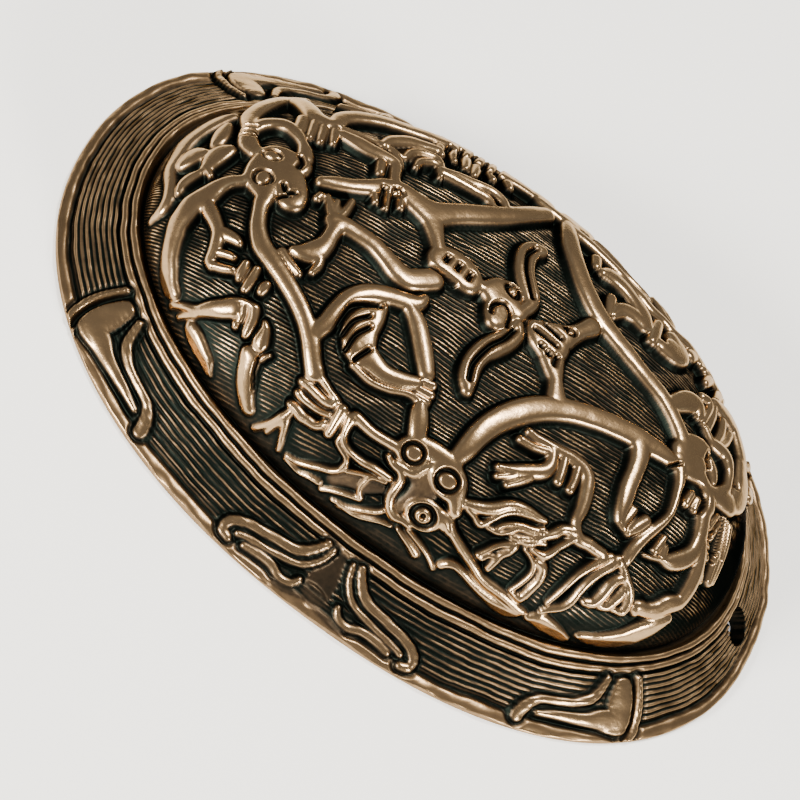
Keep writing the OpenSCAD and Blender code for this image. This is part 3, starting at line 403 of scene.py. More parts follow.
# Low thin ridges and small forms: rows of [x, y, half width]
RIDGES = [
    # Hip edge, bridge to the gripping paw, lines left of the near mask
    [[-14.8, -20.9, 0.3], [-12, -21.4, 0.3], [-9.5, -21, 0.3], [-7, -20, 0.3], [-4.5, -20.2, 0.3]],
    [[-7, 0.6, 0.5], [-5, 0.6, 0.8]],
    [[-10.9, -26.8, 0.23], [-10.9, -27.6, 0.22], [-10.8, -28.3, 0.2], [-9.8, -28.7, 0.19],
     [-8.8, -29, 0.2], [-8.3, -29.4, 0.23], [-8.3, -29.9, 0.28], [-9, -30.2, 0.33], [-10, -30.3, 0.33],
     [-12.5, -30.4, 0.31], [-14.4, -30.2, 0.24]],
    [[-14.3, -30.3, 0.21], [-12.1, -30.7, 0.18], [-10.8, -30.8, 0.29], [-9.4, -30.9, 0.38]],
    [[-17.6, -27.8, 0.38], [-17.7, -28.1, 0.5], [-17.8, -28.4, 0.66], [-18.2, -28.75, 0.52],
     [-18.8, -29, 0.42], [-19.6, -29.1, 0.35]],
    [[-17.9, -28.7, 0.36], [-18.2, -29.3, 0.2]],
    [[-17.3, -28.6, 0.42], [-16.9, -29, 0.34], [-16.5, -29.4, 0.3], [-16.1, -29.7, 0.3],
     [-15.7, -30, 0.22]],
    # Lines and lids round the near mask
    [[-3.5, -27.2, 0.31], [-2.1, -27.2, 0.42], [-0.9, -27, 0.46], [-0.3, -26.2, 0.39], [0.3, -25.3, 0.36],
     [1, -24.3, 0.28]],
    [[1.3, -29.6, 0.24], [1.5, -29, 0.27], [2.1, -28.5, 0.32], [3.1, -28.2, 0.27], [4.4, -28.2, 0.31],
     [5.5, -28.5, 0.39], [6.4, -29, 0.43]],
    [[-7.6, -29.8, 0.12], [-5.1, -29.3, 0.14], [-3, -29, 0.12]],
    [[-8.5, -31.1, 0.28], [-5.7, -30.9, 0.27], [-4.2, -30.8, 0.23]],
    [[-4.9, -29.4, 0.17], [-5.1, -29.9, 0.23], [-4.9, -30.4, 0.23], [-4.2, -30.7, 0.22]],
    [[-6.6, -31.3, 0.17], [-4.2, -31.3, 0.26], [-1.6, -30.9, 0.3], [-0.9, -30.6, 0.2]],
    [[-5.6, -31.4, 0.18], [-2.7, -31.4, 0.23], [-0.1, -31.1, 0.2], [1, -31, 0.14]],
    [[2, -30.9, 0.14], [3.1, -31, 0.31], [4.5, -31.1, 0.42], [5.8, -31.2, 0.5]],
    [[3.1, -30.6, 0.17], [6.2, -30.8, 0.22], [8.8, -31, 0.24]],
    # Feathers of the wing and the strokes below it
    [[7.4, -26.5, 0.19], [8.7, -26.6, 0.2], [9.4, -26.8, 0.28], [10, -26.7, 0.35], [10.4, -26.2, 0.24],
     [10.9, -25.4, 0.21], [11.6, -24.4, 0.2], [12.5, -23.6, 0.2], [13.7, -23, 0.2], [14.6, -22.7, 0.17]],
    [[11.9, -26, 0.16], [12.3, -25.4, 0.17], [13.3, -24.6, 0.2], [14.5, -24, 0.23], [15.5, -23.7, 0.34],
     [16.4, -23.4, 0.39], [17, -23.3, 0.26]],
    [[11, -26.5, 0.14], [12.1, -26.3, 0.16], [12.8, -26, 0.17], [13.5, -25.4, 0.17], [14.2, -24.6, 0.17],
     [15.1, -24.2, 0.17], [16.1, -23.8, 0.15]],
    [[14.2, -25.6, 0.13], [15, -25.1, 0.14], [16, -24.6, 0.19], [17.1, -23.9, 0.28]],
    [[14.7, -25.4, 0.11], [15.8, -25.2, 0.16], [16.7, -24.8, 0.16], [17.4, -24.2, 0.16],
     [18.3, -23.7, 0.14]],
    [[16.6, -23, 0.28], [17, -22.7, 0.22]],
    [[15.1, -26, 0.44], [14.4, -26.3, 0.27], [13.7, -26.8, 0.2], [13.1, -27.4, 0.2], [12.1, -28.7, 0.2]],
    [[15.2, -26.2, 0.42], [15, -26.8, 0.42], [14.5, -27.4, 0.37], [14.4, -28.1, 0.37],
     [14.3, -28.8, 0.29]],
    [[12.1, -28.7, 0.16], [12.8, -28.7, 0.15], [13.2, -28.2, 0.15], [14.1, -27.8, 0.11]],
    [[16.6, -25.5, 0.11], [17.8, -25.6, 0.14], [18.7, -25.8, 0.21], [19.2, -26.3, 0.2],
     [19.2, -26.9, 0.21], [19, -27.5, 0.2], [18.7, -28.1, 0.2], [18.5, -28.4, 0.19]],
    [[24.9, -15.1, 0.3], [26, -15.3, 0.3]],
    # Far leg, far hip and its claws
    [[-30.4, 12.4, 0.3], [-27, 12.9, 0.35], [-24.6, 13.2, 0.35], [-22.6, 12.8, 0.3]],
    [[-23.6, 12.9, 0.3], [-22.4, 11.6, 0.45], [-22, 10.9, 0.35]],
    [[-22.9, 10.3, 0.45], [-22.4, 9.6, 0.4]],
    [[33, 20.6, 0.6], [31.8, 16.8, 0.4]],
    # Far collar
    [[-17.5, 23.5, 1.6], [-14, 24.4, 2.2], [-10.5, 25, 2.2], [-7, 25.3, 1.8], [-3, 25.6, 1.5]],
]

# Low forms that keep a part of the full height: rows as above
LOW_BASES = [
    [[-2.7, -25.4, 1.6], [-1.2, -26.2, 1.7], [1.2, -26.9, 2.0], [1.4, -28.6, 1.6], [0.2, -30, 0.8]],
    [[-8.2, -30.6, 0.9], [-6.6, -30.2, 1.1], [-4.6, -30, 1.1], [-3, -29.6, 0.7]],
    [[-22.6, 13.6, 1.2], [-20.6, 15.2, 1.8], [-18.6, 16.4, 1.6]],
]

# Grooves cut into the raised forms: rows of [x, y], half width
GROOVES = [
    # Left mask: nostril and mouth
    ([[-33.6, 2.7], [-33, 1.8], [-33.1, 0.7]], 0.3),
    ([[-33.6, -3.1], [-32.9, -4], [-31.9, -3.7]], 0.3),
    ([[-33.3, -5.2], [-32.4, -4.6]], 0.25),
    # Socket in the right mask and the slit between its two bars
    ([[31.9, -6.4], [31.1, -5.3], [31.2, -3.5], [31.9, -2.2], [33, -1.6], [34.1, -2], [34.5, -3.1],
     [34.3, -4.6]], 0.3),
    # Leg and leaf at the left foot
    ([[-24.7, -24.6], [-23.9, -26], [-22.7, -27.1]], 0.13),
    ([[-31.2, -23.3], [-30, -24.3], [-28.9, -25.1]], 0.12),
    # Hip
    ([[-15.8, -12.2], [-18.6, -14], [-19, -16.5], [-18.8, -18.4]], 0.35),
    ([[-16.3, -14.3], [-17.6, -16], [-17.9, -18.3]], 0.3),
    ([[-15.6, -15.7], [-16.5, -17.5], [-16.6, -19.8]], 0.3),
    ([[-14.2, -18.3], [-15, -20.2]], 0.3),
    # Gripping paw
    ([[-11.2, 1.0], [-11.3, 0.2]], 0.3),
    ([[-9.4, 1.1], [-9.5, 0.1]], 0.3),
    ([[-7.6, 0.9], [-7.7, -0.1]], 0.3),
    ([[-12.8, -1.9], [-8.8, -2]], 0.3),
    # Ears of the middle mask
    ([[-1.5, 12.4], [-2.1, 10.5], [-1.6, 8.2], [-0.4, 6.1], [0.9, 4.3]], 0.3),
    ([[0.7, -2.2], [0.1, -4.4], [-1, -6.6], [-1.7, -9], [-2, -11.2], [-1.5, -13.4]], 0.35),
    # Small face
    ([[4.2, 1.9], [6.4, 1.5]], 0.4),
    ([[3.2, 0.1], [6.4, -0.1]], 0.35),
    ([[4.8, -1.6], [4.81, -1.6]], 0.35),
    ([[6.1, -2], [6.11, -2]], 0.45),
    ([[6.7, 3.6], [6.71, 3.6]], 0.4),
    ([[7.2, -1.6], [7.3, -3]], 0.3),
    # Pit in the third eye of the near mask
    ([[3.3, -29.3], [3.31, -29.3]], 0.3),
    # Arms
    ([[-22.6, 5], [-21.9, 2.5]], 0.3),
    ([[-20.8, 4.6], [-20.3, 2.6]], 0.3),
    # Left collar
    ([[-41.3, 3.1], [-39.6, 3.6]], 0.15),
    ([[-41.4, 4.2], [-39.8, 4.6]], 0.15),
    ([[-41.4, 5.3], [-39.9, 5.7]], 0.15),
    # Far collar and far right
    ([[-17.4, 19.6], [-16.9, 22.4]], 0.3),
    ([[-15.5, 19.6], [-15.3, 23.4]], 0.3),
    ([[-13.7, 22.4], [-12.6, 27]], 0.3),
    ([[-12, 20.8], [-11, 27]], 0.3),
    ([[-10.2, 21.6], [-9.2, 27]], 0.3),
    ([[19.7, 16.9], [19.8, 14.9]], 0.3),
    ([[21.6, 18.6], [23, 18.2]], 0.3),
    ([[40.8, 14], [40.4, 12], [39.2, 10.2]], 0.2),
    ([[36.6, 8], [37.4, 6], [38.2, 4.8]], 0.3),
    ([[-32.9, 16.9], [-32.89, 16.9]], 0.3),
    ([[-31.5, 18], [-31.49, 18]], 0.3),
    # Haunch ribs
    ([[37.8, -1.4], [37.6, -5.8]], 0.18),
    ([[38.4, -1.2], [39.6, -5.6]], 0.18),
    ([[39.4, -1], [40.9, -5.6]], 0.18),
    ([[38, -6], [39.8, -6.1]], 0.18),
    ([[38.2, -7], [40, -7.2]], 0.18),
    # Middle mask's arch and pupil, right mask's arch, slit and crack
    ([[-3.1, -2.2], [-3.2, -0.9], [-2, 0.3], [-0.7, -0.6], [-0.4, -2.4]], 0.25),
    ([[31.9, 4.2], [31.9, 3], [32.6, 2.2]], 0.25),
    ([[27.6, -3], [28.6, -1.6]], 0.2),
]

# Eyes, a ring groove round a domed pupil: [x, y, half length and half width of the ring, and of the pupil]
EYES = [
    [-36.6, 0.9, 1.4, 1.1, 1.1, 0.7],
    [-36.2, -3.3, 1.45, 1.45, 0.9, 1.1],
    [-1.75, 3.1, 1.4, 1.3, 0.6, 0.6],
    [-2.4, -25.4, 1.75, 1.6, 1.05, 0.95],
    [3.1, -25.6, 1.85, 1.7, 1.2, 0.95],
    [3.3, -29.3, 1.95, 1.7, 1.05, 0.95],
    [7.4, 3.6, 0.9, 0.9, 0.5, 0.5],
    [-20.8, 5.6, 0.8, 0.8, 0.45, 0.45],
]

# Masks on the rim: rows of [degrees from the mask's middle line, part of the slope, half width]
END_MASK = [
    [[0, 0.76, 0.45], [-0.2, 0.5, 0.55], [0.3, 0.25, 0.55], [1.8, 0.08, 0.5], [4, 0.02, 0.3]],
    [[3.7, 0.66, 1.3], [3.9, 0.45, 1.9], [4.3, 0.28, 1.7], [8, 0.29, 1.2], [11, 0.28, 0.8],
     [16, 0.285, 0.5], [20, 0.265, 0.26]],
    [[7, 0.77, 0.4], [9.7, 0.55, 0.55], [13, 0.465, 0.45], [16, 0.445, 0.4], [20, 0.415, 0.45],
     [22.2, 0.31, 0.7], [23.3, 0.19, 0.8]],
]
SIDE_MASK = [
    [[2.6, 0.8, 0.4], [3.6, 0.66, 0.5], [5.3, 0.54, 0.55], [9, 0.475, 0.5], [12.5, 0.4, 0.5],
     [14.2, 0.29, 0.55], [14, 0.18, 0.5], [12.8, 0.15, 0.4]],
    [[1.4, 0.78, 0.25], [2.1, 0.6, 0.3], [3.8, 0.44, 0.3], [7, 0.36, 0.3], [11, 0.29, 0.3],
     [12.2, 0.25, 0.3]],
    [[2.6, 0.3, 0.3], [3.1, 0.22, 0.35], [4.6, 0.19, 0.35], [6.6, 0.24, 0.42], [8.8, 0.23, 0.4],
     [10.6, 0.2, 0.3]],
]
MASK_FOOT = [[-4.5, 0.12, 0.4], [-2.6, 0.17, 0.7], [-0.6, 0.25, 0.9], [1.4, 0.18, 0.8], [4, 0.12, 0.4]]
MASK_HOLLOW = [[0, 0.76, 0.5], [0, 0.6, 1.0], [-0.2, 0.42, 1.8], [0, 0.3, 1.6]]
END_MASK_GROOVE = [[1.1, 0.8, 0.25], [0.8, 0.6, 0.25], [1, 0.35, 0.25], [2, 0.15, 0.25], [3.3, 0.05, 0.2]]
END_MASK_LINES = [[-146, 1], [-36, -1], [36, 1], [146, -1]]
SIDE_MASK_LINES = [-91, 91]


def power(values, exponent):
    return np.sign(values) * np.abs(values) ** exponent


def oval(a, b, exponent, t):
    """Points of a superellipse at the angles t, a row each."""
    return np.stack([a * power(np.cos(t), 2 / exponent), b * power(np.sin(t), 2 / exponent)], axis=-1)


def unit(vectors):
    return vectors / np.maximum(np.linalg.norm(vectors, axis=-1, keepdims=True), 1e-12)


def smooth(values, low, high):
    """0 below low, 1 above high and a soft step between them."""
    x = np.clip((values - low) / (high - low), 0, 1)
    return x * x * (3 - 2 * x)


def hump(values, middle, width):
    """Soft bell of height 1."""
    return np.exp(-((values - middle) / width) ** 2)


def ridge_section(values, middle, half_width):
    """Round section of a ridge, of height 1."""
    return np.sqrt(np.clip(1 - ((values - middle) / half_width) ** 2, 0, 1))


def ripple(points, size, seed, waves=7):
    """Soft even noise of about -1 to 1: a sum of plane waves about size apart, the same in each run."""
    total = np.zeros(len(points))
    for i in range(waves):
        turn = seed * 2.39996 + i * 1.9417
        tilt = math.sin(seed * 1.7 + i * 2.6) * 0.9
        way = np.array([math.cos(turn) * math.cos(tilt), math.sin(turn) * math.cos(tilt), math.sin(tilt)])
        rate = 2 * math.pi / size * (0.7 + 0.6 * ((i * 0.618 + seed * 0.37) % 1))
        total += np.sin(points @ way * rate + seed * 5.1 + i * 2.3)
    return total / math.sqrt(waves) * 0.8


def share(x, y):
    """Part of the way from the middle of the dome to its foot."""
    return ((np.abs(x) / DOME_A) ** FOOT_POWER + (np.abs(y) / DOME_B) ** FOOT_POWER) ** (1 / FOOT_POWER)


def dome_z(part, height=DOME_HEIGHT):
    return RIDGE_Z + height * np.sqrt(np.maximum(0, 1 - np.minimum(part, 1) ** DOME_POWER))


def dome_point(x, y):
    return np.stack([x, y, dome_z(share(x, y))], axis=-1)


def dome_normal(x, y):
    part = np.clip(share(x, y), 0.02, 0.9995)
    lift = np.sqrt(1 - part ** DOME_POWER)
    steep = DOME_POWER * part ** (DOME_POWER - FOOT_POWER)
    return unit(np.stack([
        steep * power(x / DOME_A, FOOT_POWER - 1) / DOME_A,
        steep * power(y / DOME_B, FOOT_POWER - 1) / DOME_B,
        2 * lift / DOME_HEIGHT,
    ], axis=-1))


def slope_point(t, part, rise=0.0):
    """Point of the sloping rim: oval angle, part of the slope from the lip, height above it."""
    lip = oval(RIM_A, RIM_B, RIM_POWER, t)
    ridge = oval(RIDGE_A, RIDGE_B, FOOT_POWER, t)
    at = lip + (ridge - lip) * np.asarray(part)[..., None]
    z = RIDGE_Z * np.asarray(part)
    out = unit(oval(1 / RIM_A, 1 / RIM_B, 2, t))
    lean = math.atan2(RIDGE_Z, (SLOPE_A + SLOPE_B) / 2)
    rise = np.asarray(rise)
    return np.stack([
        at[..., 0] + out[..., 0] * math.sin(lean) * rise,
        at[..., 1] + out[..., 1] * math.sin(lean) * rise,
        z + math.cos(lean) * rise,
    ], axis=-1)


def resample(rows):
    """Soft curve through charted rows, finely spaced."""
    rows = np.asarray(rows, float)
    ends = np.vstack([2 * rows[0] - rows[1], rows, 2 * rows[-1] - rows[-2]])
    out = []
    for i in range(len(rows) - 1):
        p0, p1, p2, p3 = ends[i:i + 4]
        count = max(1, int(math.ceil(math.hypot(*(p2 - p1)[:2]) / CHART_STEP)))
        t = (np.arange(count) / count)[:, None]
        out.append(0.5 * (2 * p1 + (p2 - p0) * t + (2 * p0 - 5 * p1 + 4 * p2 - p3) * t ** 2
                          + (3 * p1 - p0 - 3 * p2 + p3) * t ** 3))
    return np.vstack(out + [rows[-1:]])


def strand_distance(points, line, widths, margin):
    """Indices of the points near a strand, and their distance to its edge, negative inside."""
    reach = margin + widths.max()
    inside = (points > line.min(axis=0) - reach) & (points < line.max(axis=0) + reach)
    near = np.flatnonzero(np.all(inside, axis=1))
    spots = points[near]
    best = np.full(len(near), np.inf)
    for i in range(len(line) - 1):
        way = line[i + 1] - line[i]
        offset = spots - line[i]
        t = np.clip(offset @ way / max(way @ way, 1e-9), 0, 1)
        half_width = widths[i] + (widths[i + 1] - widths[i]) * t
        best = np.minimum(best, np.linalg.norm(offset - t[:, None] * way, axis=1) - half_width)
    close = best < margin
    return near[close], best[close]


def joined_distance(points, strands, margin=1.6, blend=0.13):
    """Distance to the nearest of the strands, with the corners between them filled softly."""
    total = np.zeros(len(points))
    for line, widths in strands:
        near, gap = strand_distance(points, line, widths, margin)
        total[near] += np.exp(-np.maximum(gap, -3) / blend)
    return np.where(total > 0, -blend * np.log(np.maximum(total, 1e-12)), margin)


def dome_strands(tables, grow=0.0):
    """Charted rows on the dome as strands: points and half widths."""
    out = []
    for rows in tables:
        fine = resample(rows)
        out.append((dome_point(fine[:, 0], fine[:, 1]), np.maximum(fine[:, 2], THINNEST) + grow))
    return out


def rim_strand(rows, line, side):
    """A charted row of a mask on the rim as a strand; line is the mask's middle line in degrees."""
    fine = resample(np.asarray(rows, float) * RIM_CHART_SCALE)
    t = np.radians(line + side * fine[:, 0] / RIM_CHART_SCALE[0])
    return slope_point(t, fine[:, 1] / RIM_CHART_SCALE[1], MASK_LEVEL), np.maximum(fine[:, 2], THINNEST)


def edge_rise(distance):
    """Part of the full height at a distance from a raised form's edge."""
    return np.interp(distance, EDGE_STEPS, EDGE_RISE)


def dome_cuts(points):
    """Depth of the grooves and of the rings round the eyes."""
    cut = np.zeros(len(points))
    for rows, width in GROOVES:
        line = resample([[x, y, width] for x, y in rows])
        middle = dome_point(line[:, 0], line[:, 1])
        near, gap = strand_distance(points, middle, np.full(len(line), 0.01), GROOVE_REACH)
        cut[near] = np.maximum(cut[near], GROOVE_DEPTH * hump(np.maximum(gap, 0), 0, width * 1.05))
    for x, y, ring_a, ring_b, pupil_a, pupil_b in EYES:
        centre = dome_point(np.array(x), np.array(y))
        normal = dome_normal(np.array(x), np.array(y))
        along = unit(np.array([1.0, 0, 0]) - normal * normal[0])
        across = np.cross(normal, along)
        near = np.flatnonzero(np.linalg.norm(points - centre, axis=1) < EYE_REACH)
        u = (points[near] - centre) @ along
        v = (points[near] - centre) @ across
        inner = np.hypot(u / pupil_a, v / pupil_b)
        outer = np.hypot(u / ring_a, v / ring_b)
        ring = smooth(inner, 0.85, 1.35) * (1 - smooth(outer, 0.75, 1.08))
        doming = np.minimum(inner, 1) ** 2 * (outer < 1)
        cut[near] = np.maximum(cut[near], 0.75 * ring + 0.1 * doming)
    return cut


def hatching(points, rise, edge, foot):
    """Count of the fine lines that run along the sunk ground, and their strength."""
    x, y, z = points.T
    drop = RIDGE_Z + DOME_HEIGHT - z
    line = (y - 0.12 * x + 0.7 * drop * np.tanh(y / 8)) / HATCH_SPACING
    line += 0.9 * ripple(points, 24, 5) + 0.1 * ripple(points, 4, 6)
    strength = 1 - smooth(rise, 0.02, 0.2)
    strength *= 0.4 + 0.6 * smooth(ripple(points * [0.35, 1, 1], 1.9, 9), -0.8, 0.7)
    # The lines fade to black next to the raised forms: partly tarnish, partly painted shade at the foot of
    # their walls
    strength *= 0.12 + 0.88 * smooth(edge, 0.55, 1.3)

    # It fades at the foot, and where the lines crowd together on the steep right end
    strength *= 1 - 0.85 * smooth(foot, 0.96, 0.99) * smooth(x, -40, -15)
    steep_end = smooth(x, 24, 34) * smooth(drop, 7, 11) * (1 - smooth(np.abs(y), 5, 11))
    return line, strength * (1 - 0.9 * steep_end)


def dome_relief(points):
    """For points on the dome's outer form: drop of the surface under it, tone, count of the hatch lines
    and their strength."""
    far_edge = [[[x, -y, w] for x, y, w in rows] for rows in EDGE_BANDS]
    broad = joined_distance(points, dome_strands(BANDS + EDGE_BANDS + far_edge))
    thin = joined_distance(points, dome_strands(FINGERS + RIDGES, 0.06))
    low = joined_distance(points, dome_strands(LOW_BASES))
    rise = np.maximum(edge_rise(broad), THIN_HEIGHT * edge_rise(thin * 1.15))
    rise = np.maximum(rise, LOW_HEIGHT * edge_rise(low))
    edge = np.minimum(broad, thin)

    # Crowns are a little domed and uneven
    height = rise * RELIEF
    height -= rise * 0.035 * (1 + ripple(points, 4.3, 3))
    height -= rise * 0.05 * smooth(ripple(points, 7.0, 8), 0.4, 1.2)
    cut = dome_cuts(points) * smooth(rise, 0.2, 0.8)
    height = np.maximum(height - cut, 0.02 * rise)

    foot = share(points[:, 0], points[:, 1])
    line, ground = hatching(points, rise, edge, foot)
    height += ground * HATCH_HEIGHT * np.cos(math.pi * line) ** 2

    # The relief sinks to the moat at the very foot
    height = np.maximum(height, 0.95 * smooth(foot, 0.93, 1.0))
    height = np.minimum(height, RELIEF - 0.5 * smooth(foot, 0.988, 1.0))

    tone = 0.02 + 0.72 * smooth(rise, 0.3, 0.88)
    # Rubbed edges of the crowns: partly worn metal, partly a painted highlight along the edge
    tone += EDGE_RUB_AND_HIGHLIGHT * hump(edge, -0.15, 0.22) * smooth(rise, 0.6, 0.85)
    tone -= 0.8 * smooth(cut, 0.1, 0.55) * tone
    tone += 0.16 * (1 - smooth(rise, 0.02, 0.3)) * smooth(foot, 0.978, 0.996)
    return RELIEF - height, tone, line, ground


def rim_ridges(at, t, part):
    """Rise of the plain rim over its slope, and the tone."""
    wander = part + 0.01 * ripple(at, 16, 11) + 0.008 * ripple(at, 6, 12) + 0.003 * ripple(at, 2.4, 14)

    # Eight fine uneven ridges between two grooves, rubbed flatter towards the far side and the ends
    count = (wander - FIRST_RIDGE) / RIDGE_SPACING
    worn = np.maximum(smooth(at[:, 0], 8, 34), smooth(-at[:, 0], 36, 50))
    worn = np.maximum(smooth(at[:, 1], -22, 8), worn)
    fine = np.abs(np.sin(math.pi * count)) ** (3.2 - 2.2 * worn)
    field = smooth(wander, 0.225, 0.25) * (1 - smooth(wander, 0.785, 0.805))
    each = np.stack([np.degrees(t), np.floor(count) * 7, part * 0], axis=-1)
    weak = smooth(ripple(each, 9, 21), -0.2, 1.1)
    rise = field * (0.02 + 0.32 * fine * (1 - 0.5 * weak))
    tone = 0.5 - field * (0.48 - (0.46 + 0.14 * worn) * smooth(fine, 0.35, 0.95))
    tone -= (0.26 - 0.14 * worn) * field * weak * fine

    # Rounded lip, the groove inside it, and the two smooth ridges at the dome
    swell = 1 + 0.22 * ripple(at, 11, 13) + 0.13 * ripple(at, 3.6, 18)
    lip = ridge_section(wander, *RIM_LIP) * (wander < sum(RIM_LIP))
    rise += 0.62 * lip * swell
    groove = sum(hump(wander, middle, width) for middle, width in RIM_GROOVES)
    rise -= 0.3 * groove
    tone -= 0.5 * np.minimum(groove, 1)
    outer, inner = (ridge_section(wander, middle, width) for middle, width in RIM_FOLDS)
    rise += 0.32 * outer + 0.36 * inner
    tone += 0.14 * np.maximum(np.maximum(outer, inner), lip)
    return rise, tone


def rim_relief(t, part):
    """Rise of the rim over its plain slope, and the tone, for oval angles and parts of the slope."""
    at = slope_point(t, part)
    rise, tone = rim_ridges(at, t, part)
    strands, low, pits, hollows = [], [], [], []
    for line, side in END_MASK_LINES:
        strands += [rim_strand(rows, line, side) for rows in END_MASK]
        pits.append(rim_strand(END_MASK_GROOVE, line, side))
    for line in SIDE_MASK_LINES:
        strands += [rim_strand(rows, line, side) for rows in SIDE_MASK for side in (-1, 1)]
        low.append(rim_strand(MASK_FOOT, line, 1))
        hollows.append(rim_strand(MASK_HOLLOW, line, 1))
    where = slope_point(t, part, MASK_LEVEL)
    distance = joined_distance(where, strands)
    mask = edge_rise(distance * 1.1)
    mask = np.maximum(mask, LOW_HEIGHT * edge_rise(joined_distance(where, low) * 0.9))
    around = smooth(1.1 - distance, 0, 0.8) * (1 - mask)
    hollow = smooth(0.6 - joined_distance(where, hollows), 0, 0.7)
    around = np.maximum(around, hollow * (1 - mask))
    rise = rise * (1 - mask) * (1 - around) - 0.1 * around
    rise += mask * MASK_HEIGHT * (1 + 0.06 * ripple(at, 4, 15))
    tone = tone * (1 - mask) * (1 - around) + mask * (0.1 + 0.66 * smooth(mask, 0.5, 0.95))
    tone += 0.3 * hollow * (1 - mask)
    # Rubbed edges of the masks: partly worn metal, partly a painted highlight along the edge
    tone += EDGE_RUB_AND_HIGHLIGHT * hump(distance, -0.15, 0.2)
    pit = smooth(0.35 - joined_distance(where, pits), 0, 0.5)
    rise = rise * (1 - pit) - 0.15 * pit
    tone = tone * (1 - 0.85 * pit)
    rise += 0.03 * ripple(at, 2.6, 17)
    return rise, tone


# Columns round the casting; the rings near the crown have fewer
FULL_COLUMNS = 1280
COLUMNS = FULL_COLUMNS
ROW_STEP = 0.205
LEAST_COLUMNS = 40
RIM_ROWS = 86
even = np.arange(COLUMNS) * 2 * math.pi / COLUMNS
ring_t = even + 0.1 * np.sin(2 * even)

# The casting as rings of points, from the crown out over the rim and back through the hollow
rings, ring_points, ring_tones, faces, sectors = [], [], [], [], []


def add_faces(a, b, c, sector):
    faces.append(np.stack(np.broadcast_arrays(a, b, c), axis=1))
    sectors.append(np.broadcast_to(sector, len(faces[-1])))


def quarter(cell, cells):
    """Which of the four pieces a cell belongs to: right, far, left, near."""
    return (cell * 8 // cells + 1) // 2 % 4


def join_rings(a, b, gap):
    """Triangles between two rings, the second further along; gap names the cells that stay open."""
    start_a, count_a = a
    start_b, count_b = b
    if min(count_a, count_b) == 1:
        count = max(count_a, count_b)
        i = np.arange(count)
        if count_a == 1:
            add_faces(start_a, start_b + i, start_b + (i + 1) % count, quarter(i, count))
        else:
            add_faces(start_b, start_a + (i + 1) % count, start_a + i, quarter(i, count))
        return
    cells = min(count_a, count_b)
    step_a, step_b = count_a // cells, count_b // cells
    i = np.setdiff1d(np.arange(cells), gap)
    sector = quarter(i, cells)
    this_a, next_a = start_a + i * step_a, start_a + (i + 1) * step_a % count_a
    this_b, next_b = start_b + i * step_b, start_b + (i + 1) * step_b % count_b
    if step_a == step_b:
        add_faces(this_a, this_b, next_b, sector)
        add_faces(this_a, next_b, next_a, sector)
    elif step_b > 1:
        add_faces(this_a, this_b + step_b // 2, next_a, sector)
        for k in range(step_b):
            far = start_b + (i * step_b + k + 1) % count_b
            add_faces(this_a if 2 * k < step_b else next_a, this_b + k, far, sector)
    else:
        add_faces(this_a + step_a // 2, this_b, next_b, sector)
        for k in range(step_a):
            far = start_a + (i * step_a + k + 1) % count_a
            add_faces(this_b if 2 * k < step_a else next_b, far, this_a + k, sector)


def add_ring(points, tones, gap=()):
    """Adds a ring and joins it to the one before it."""
    first = sum(rings[-1]) if rings else 0
    rings.append((first, len(points)))
    ring_points.append(points)
    ring_tones.append(np.broadcast_to(tones, len(points)))
    if len(rings) > 1:
        join_rings(rings[-2], rings[-1], gap)


def flat_ring(plan, z, tones):
    add_ring(np.column_stack([plan, np.full(len(plan), z)]), tones)


def add_grid(rows, tones, window, block):
    """Adds rows of points as rings, with a block of cells left open. Gives the numbers of the points in the
    window of columns round it."""
    first = len(rings)
    columns = rows.shape[1]
    r0, r1, c0, c1 = block
    for i, row in enumerate(rows):
        add_ring(row, tones[i], window[c0:c1] % columns if r0 < i <= r1 else ())
    return np.array([[rings[first + i][0] + j % columns for j in window] for i in range(len(rows))])


def columns_of(count):
    return ring_t[::COLUMNS // count]


def fewer_columns(full, part):
    """Halves a ring's columns until they are about as far apart as at the foot."""
    count = full
    while count > LEAST_COLUMNS and part < 0.5 * count / full:
        count //= 2
    return count


# Where the hole goes through the rim: its middle on the slope, its axis, and two directions across it
hole_lean = math.atan2(RIDGE_Z, SLOPE_A)
hole_axis = np.array([math.sin(hole_lean), 0, math.cos(hole_lean)])
hole_across = np.array([0, 1.0, 0])
hole_up = np.array([-math.cos(hole_lean), 0, math.sin(hole_lean)])
hole_x = RIDGE_A + HOLE_DOWN * math.cos(hole_lean)
hole_top = np.array([hole_x, -HOLE_OFF, RIDGE_Z - HOLE_DOWN * math.sin(hole_lean)])


def seen_down_hole(points, middle):
    """Places of points seen along the hole's axis: across it and up the slope."""
    return (points - middle) @ hole_across, (points - middle) @ hole_up


def hole_window(before, after):
    """Columns round the hole, given for the full number of columns."""
    return np.arange(-before * COLUMNS // FULL_COLUMNS, after * COLUMNS // FULL_COLUMNS + 1)


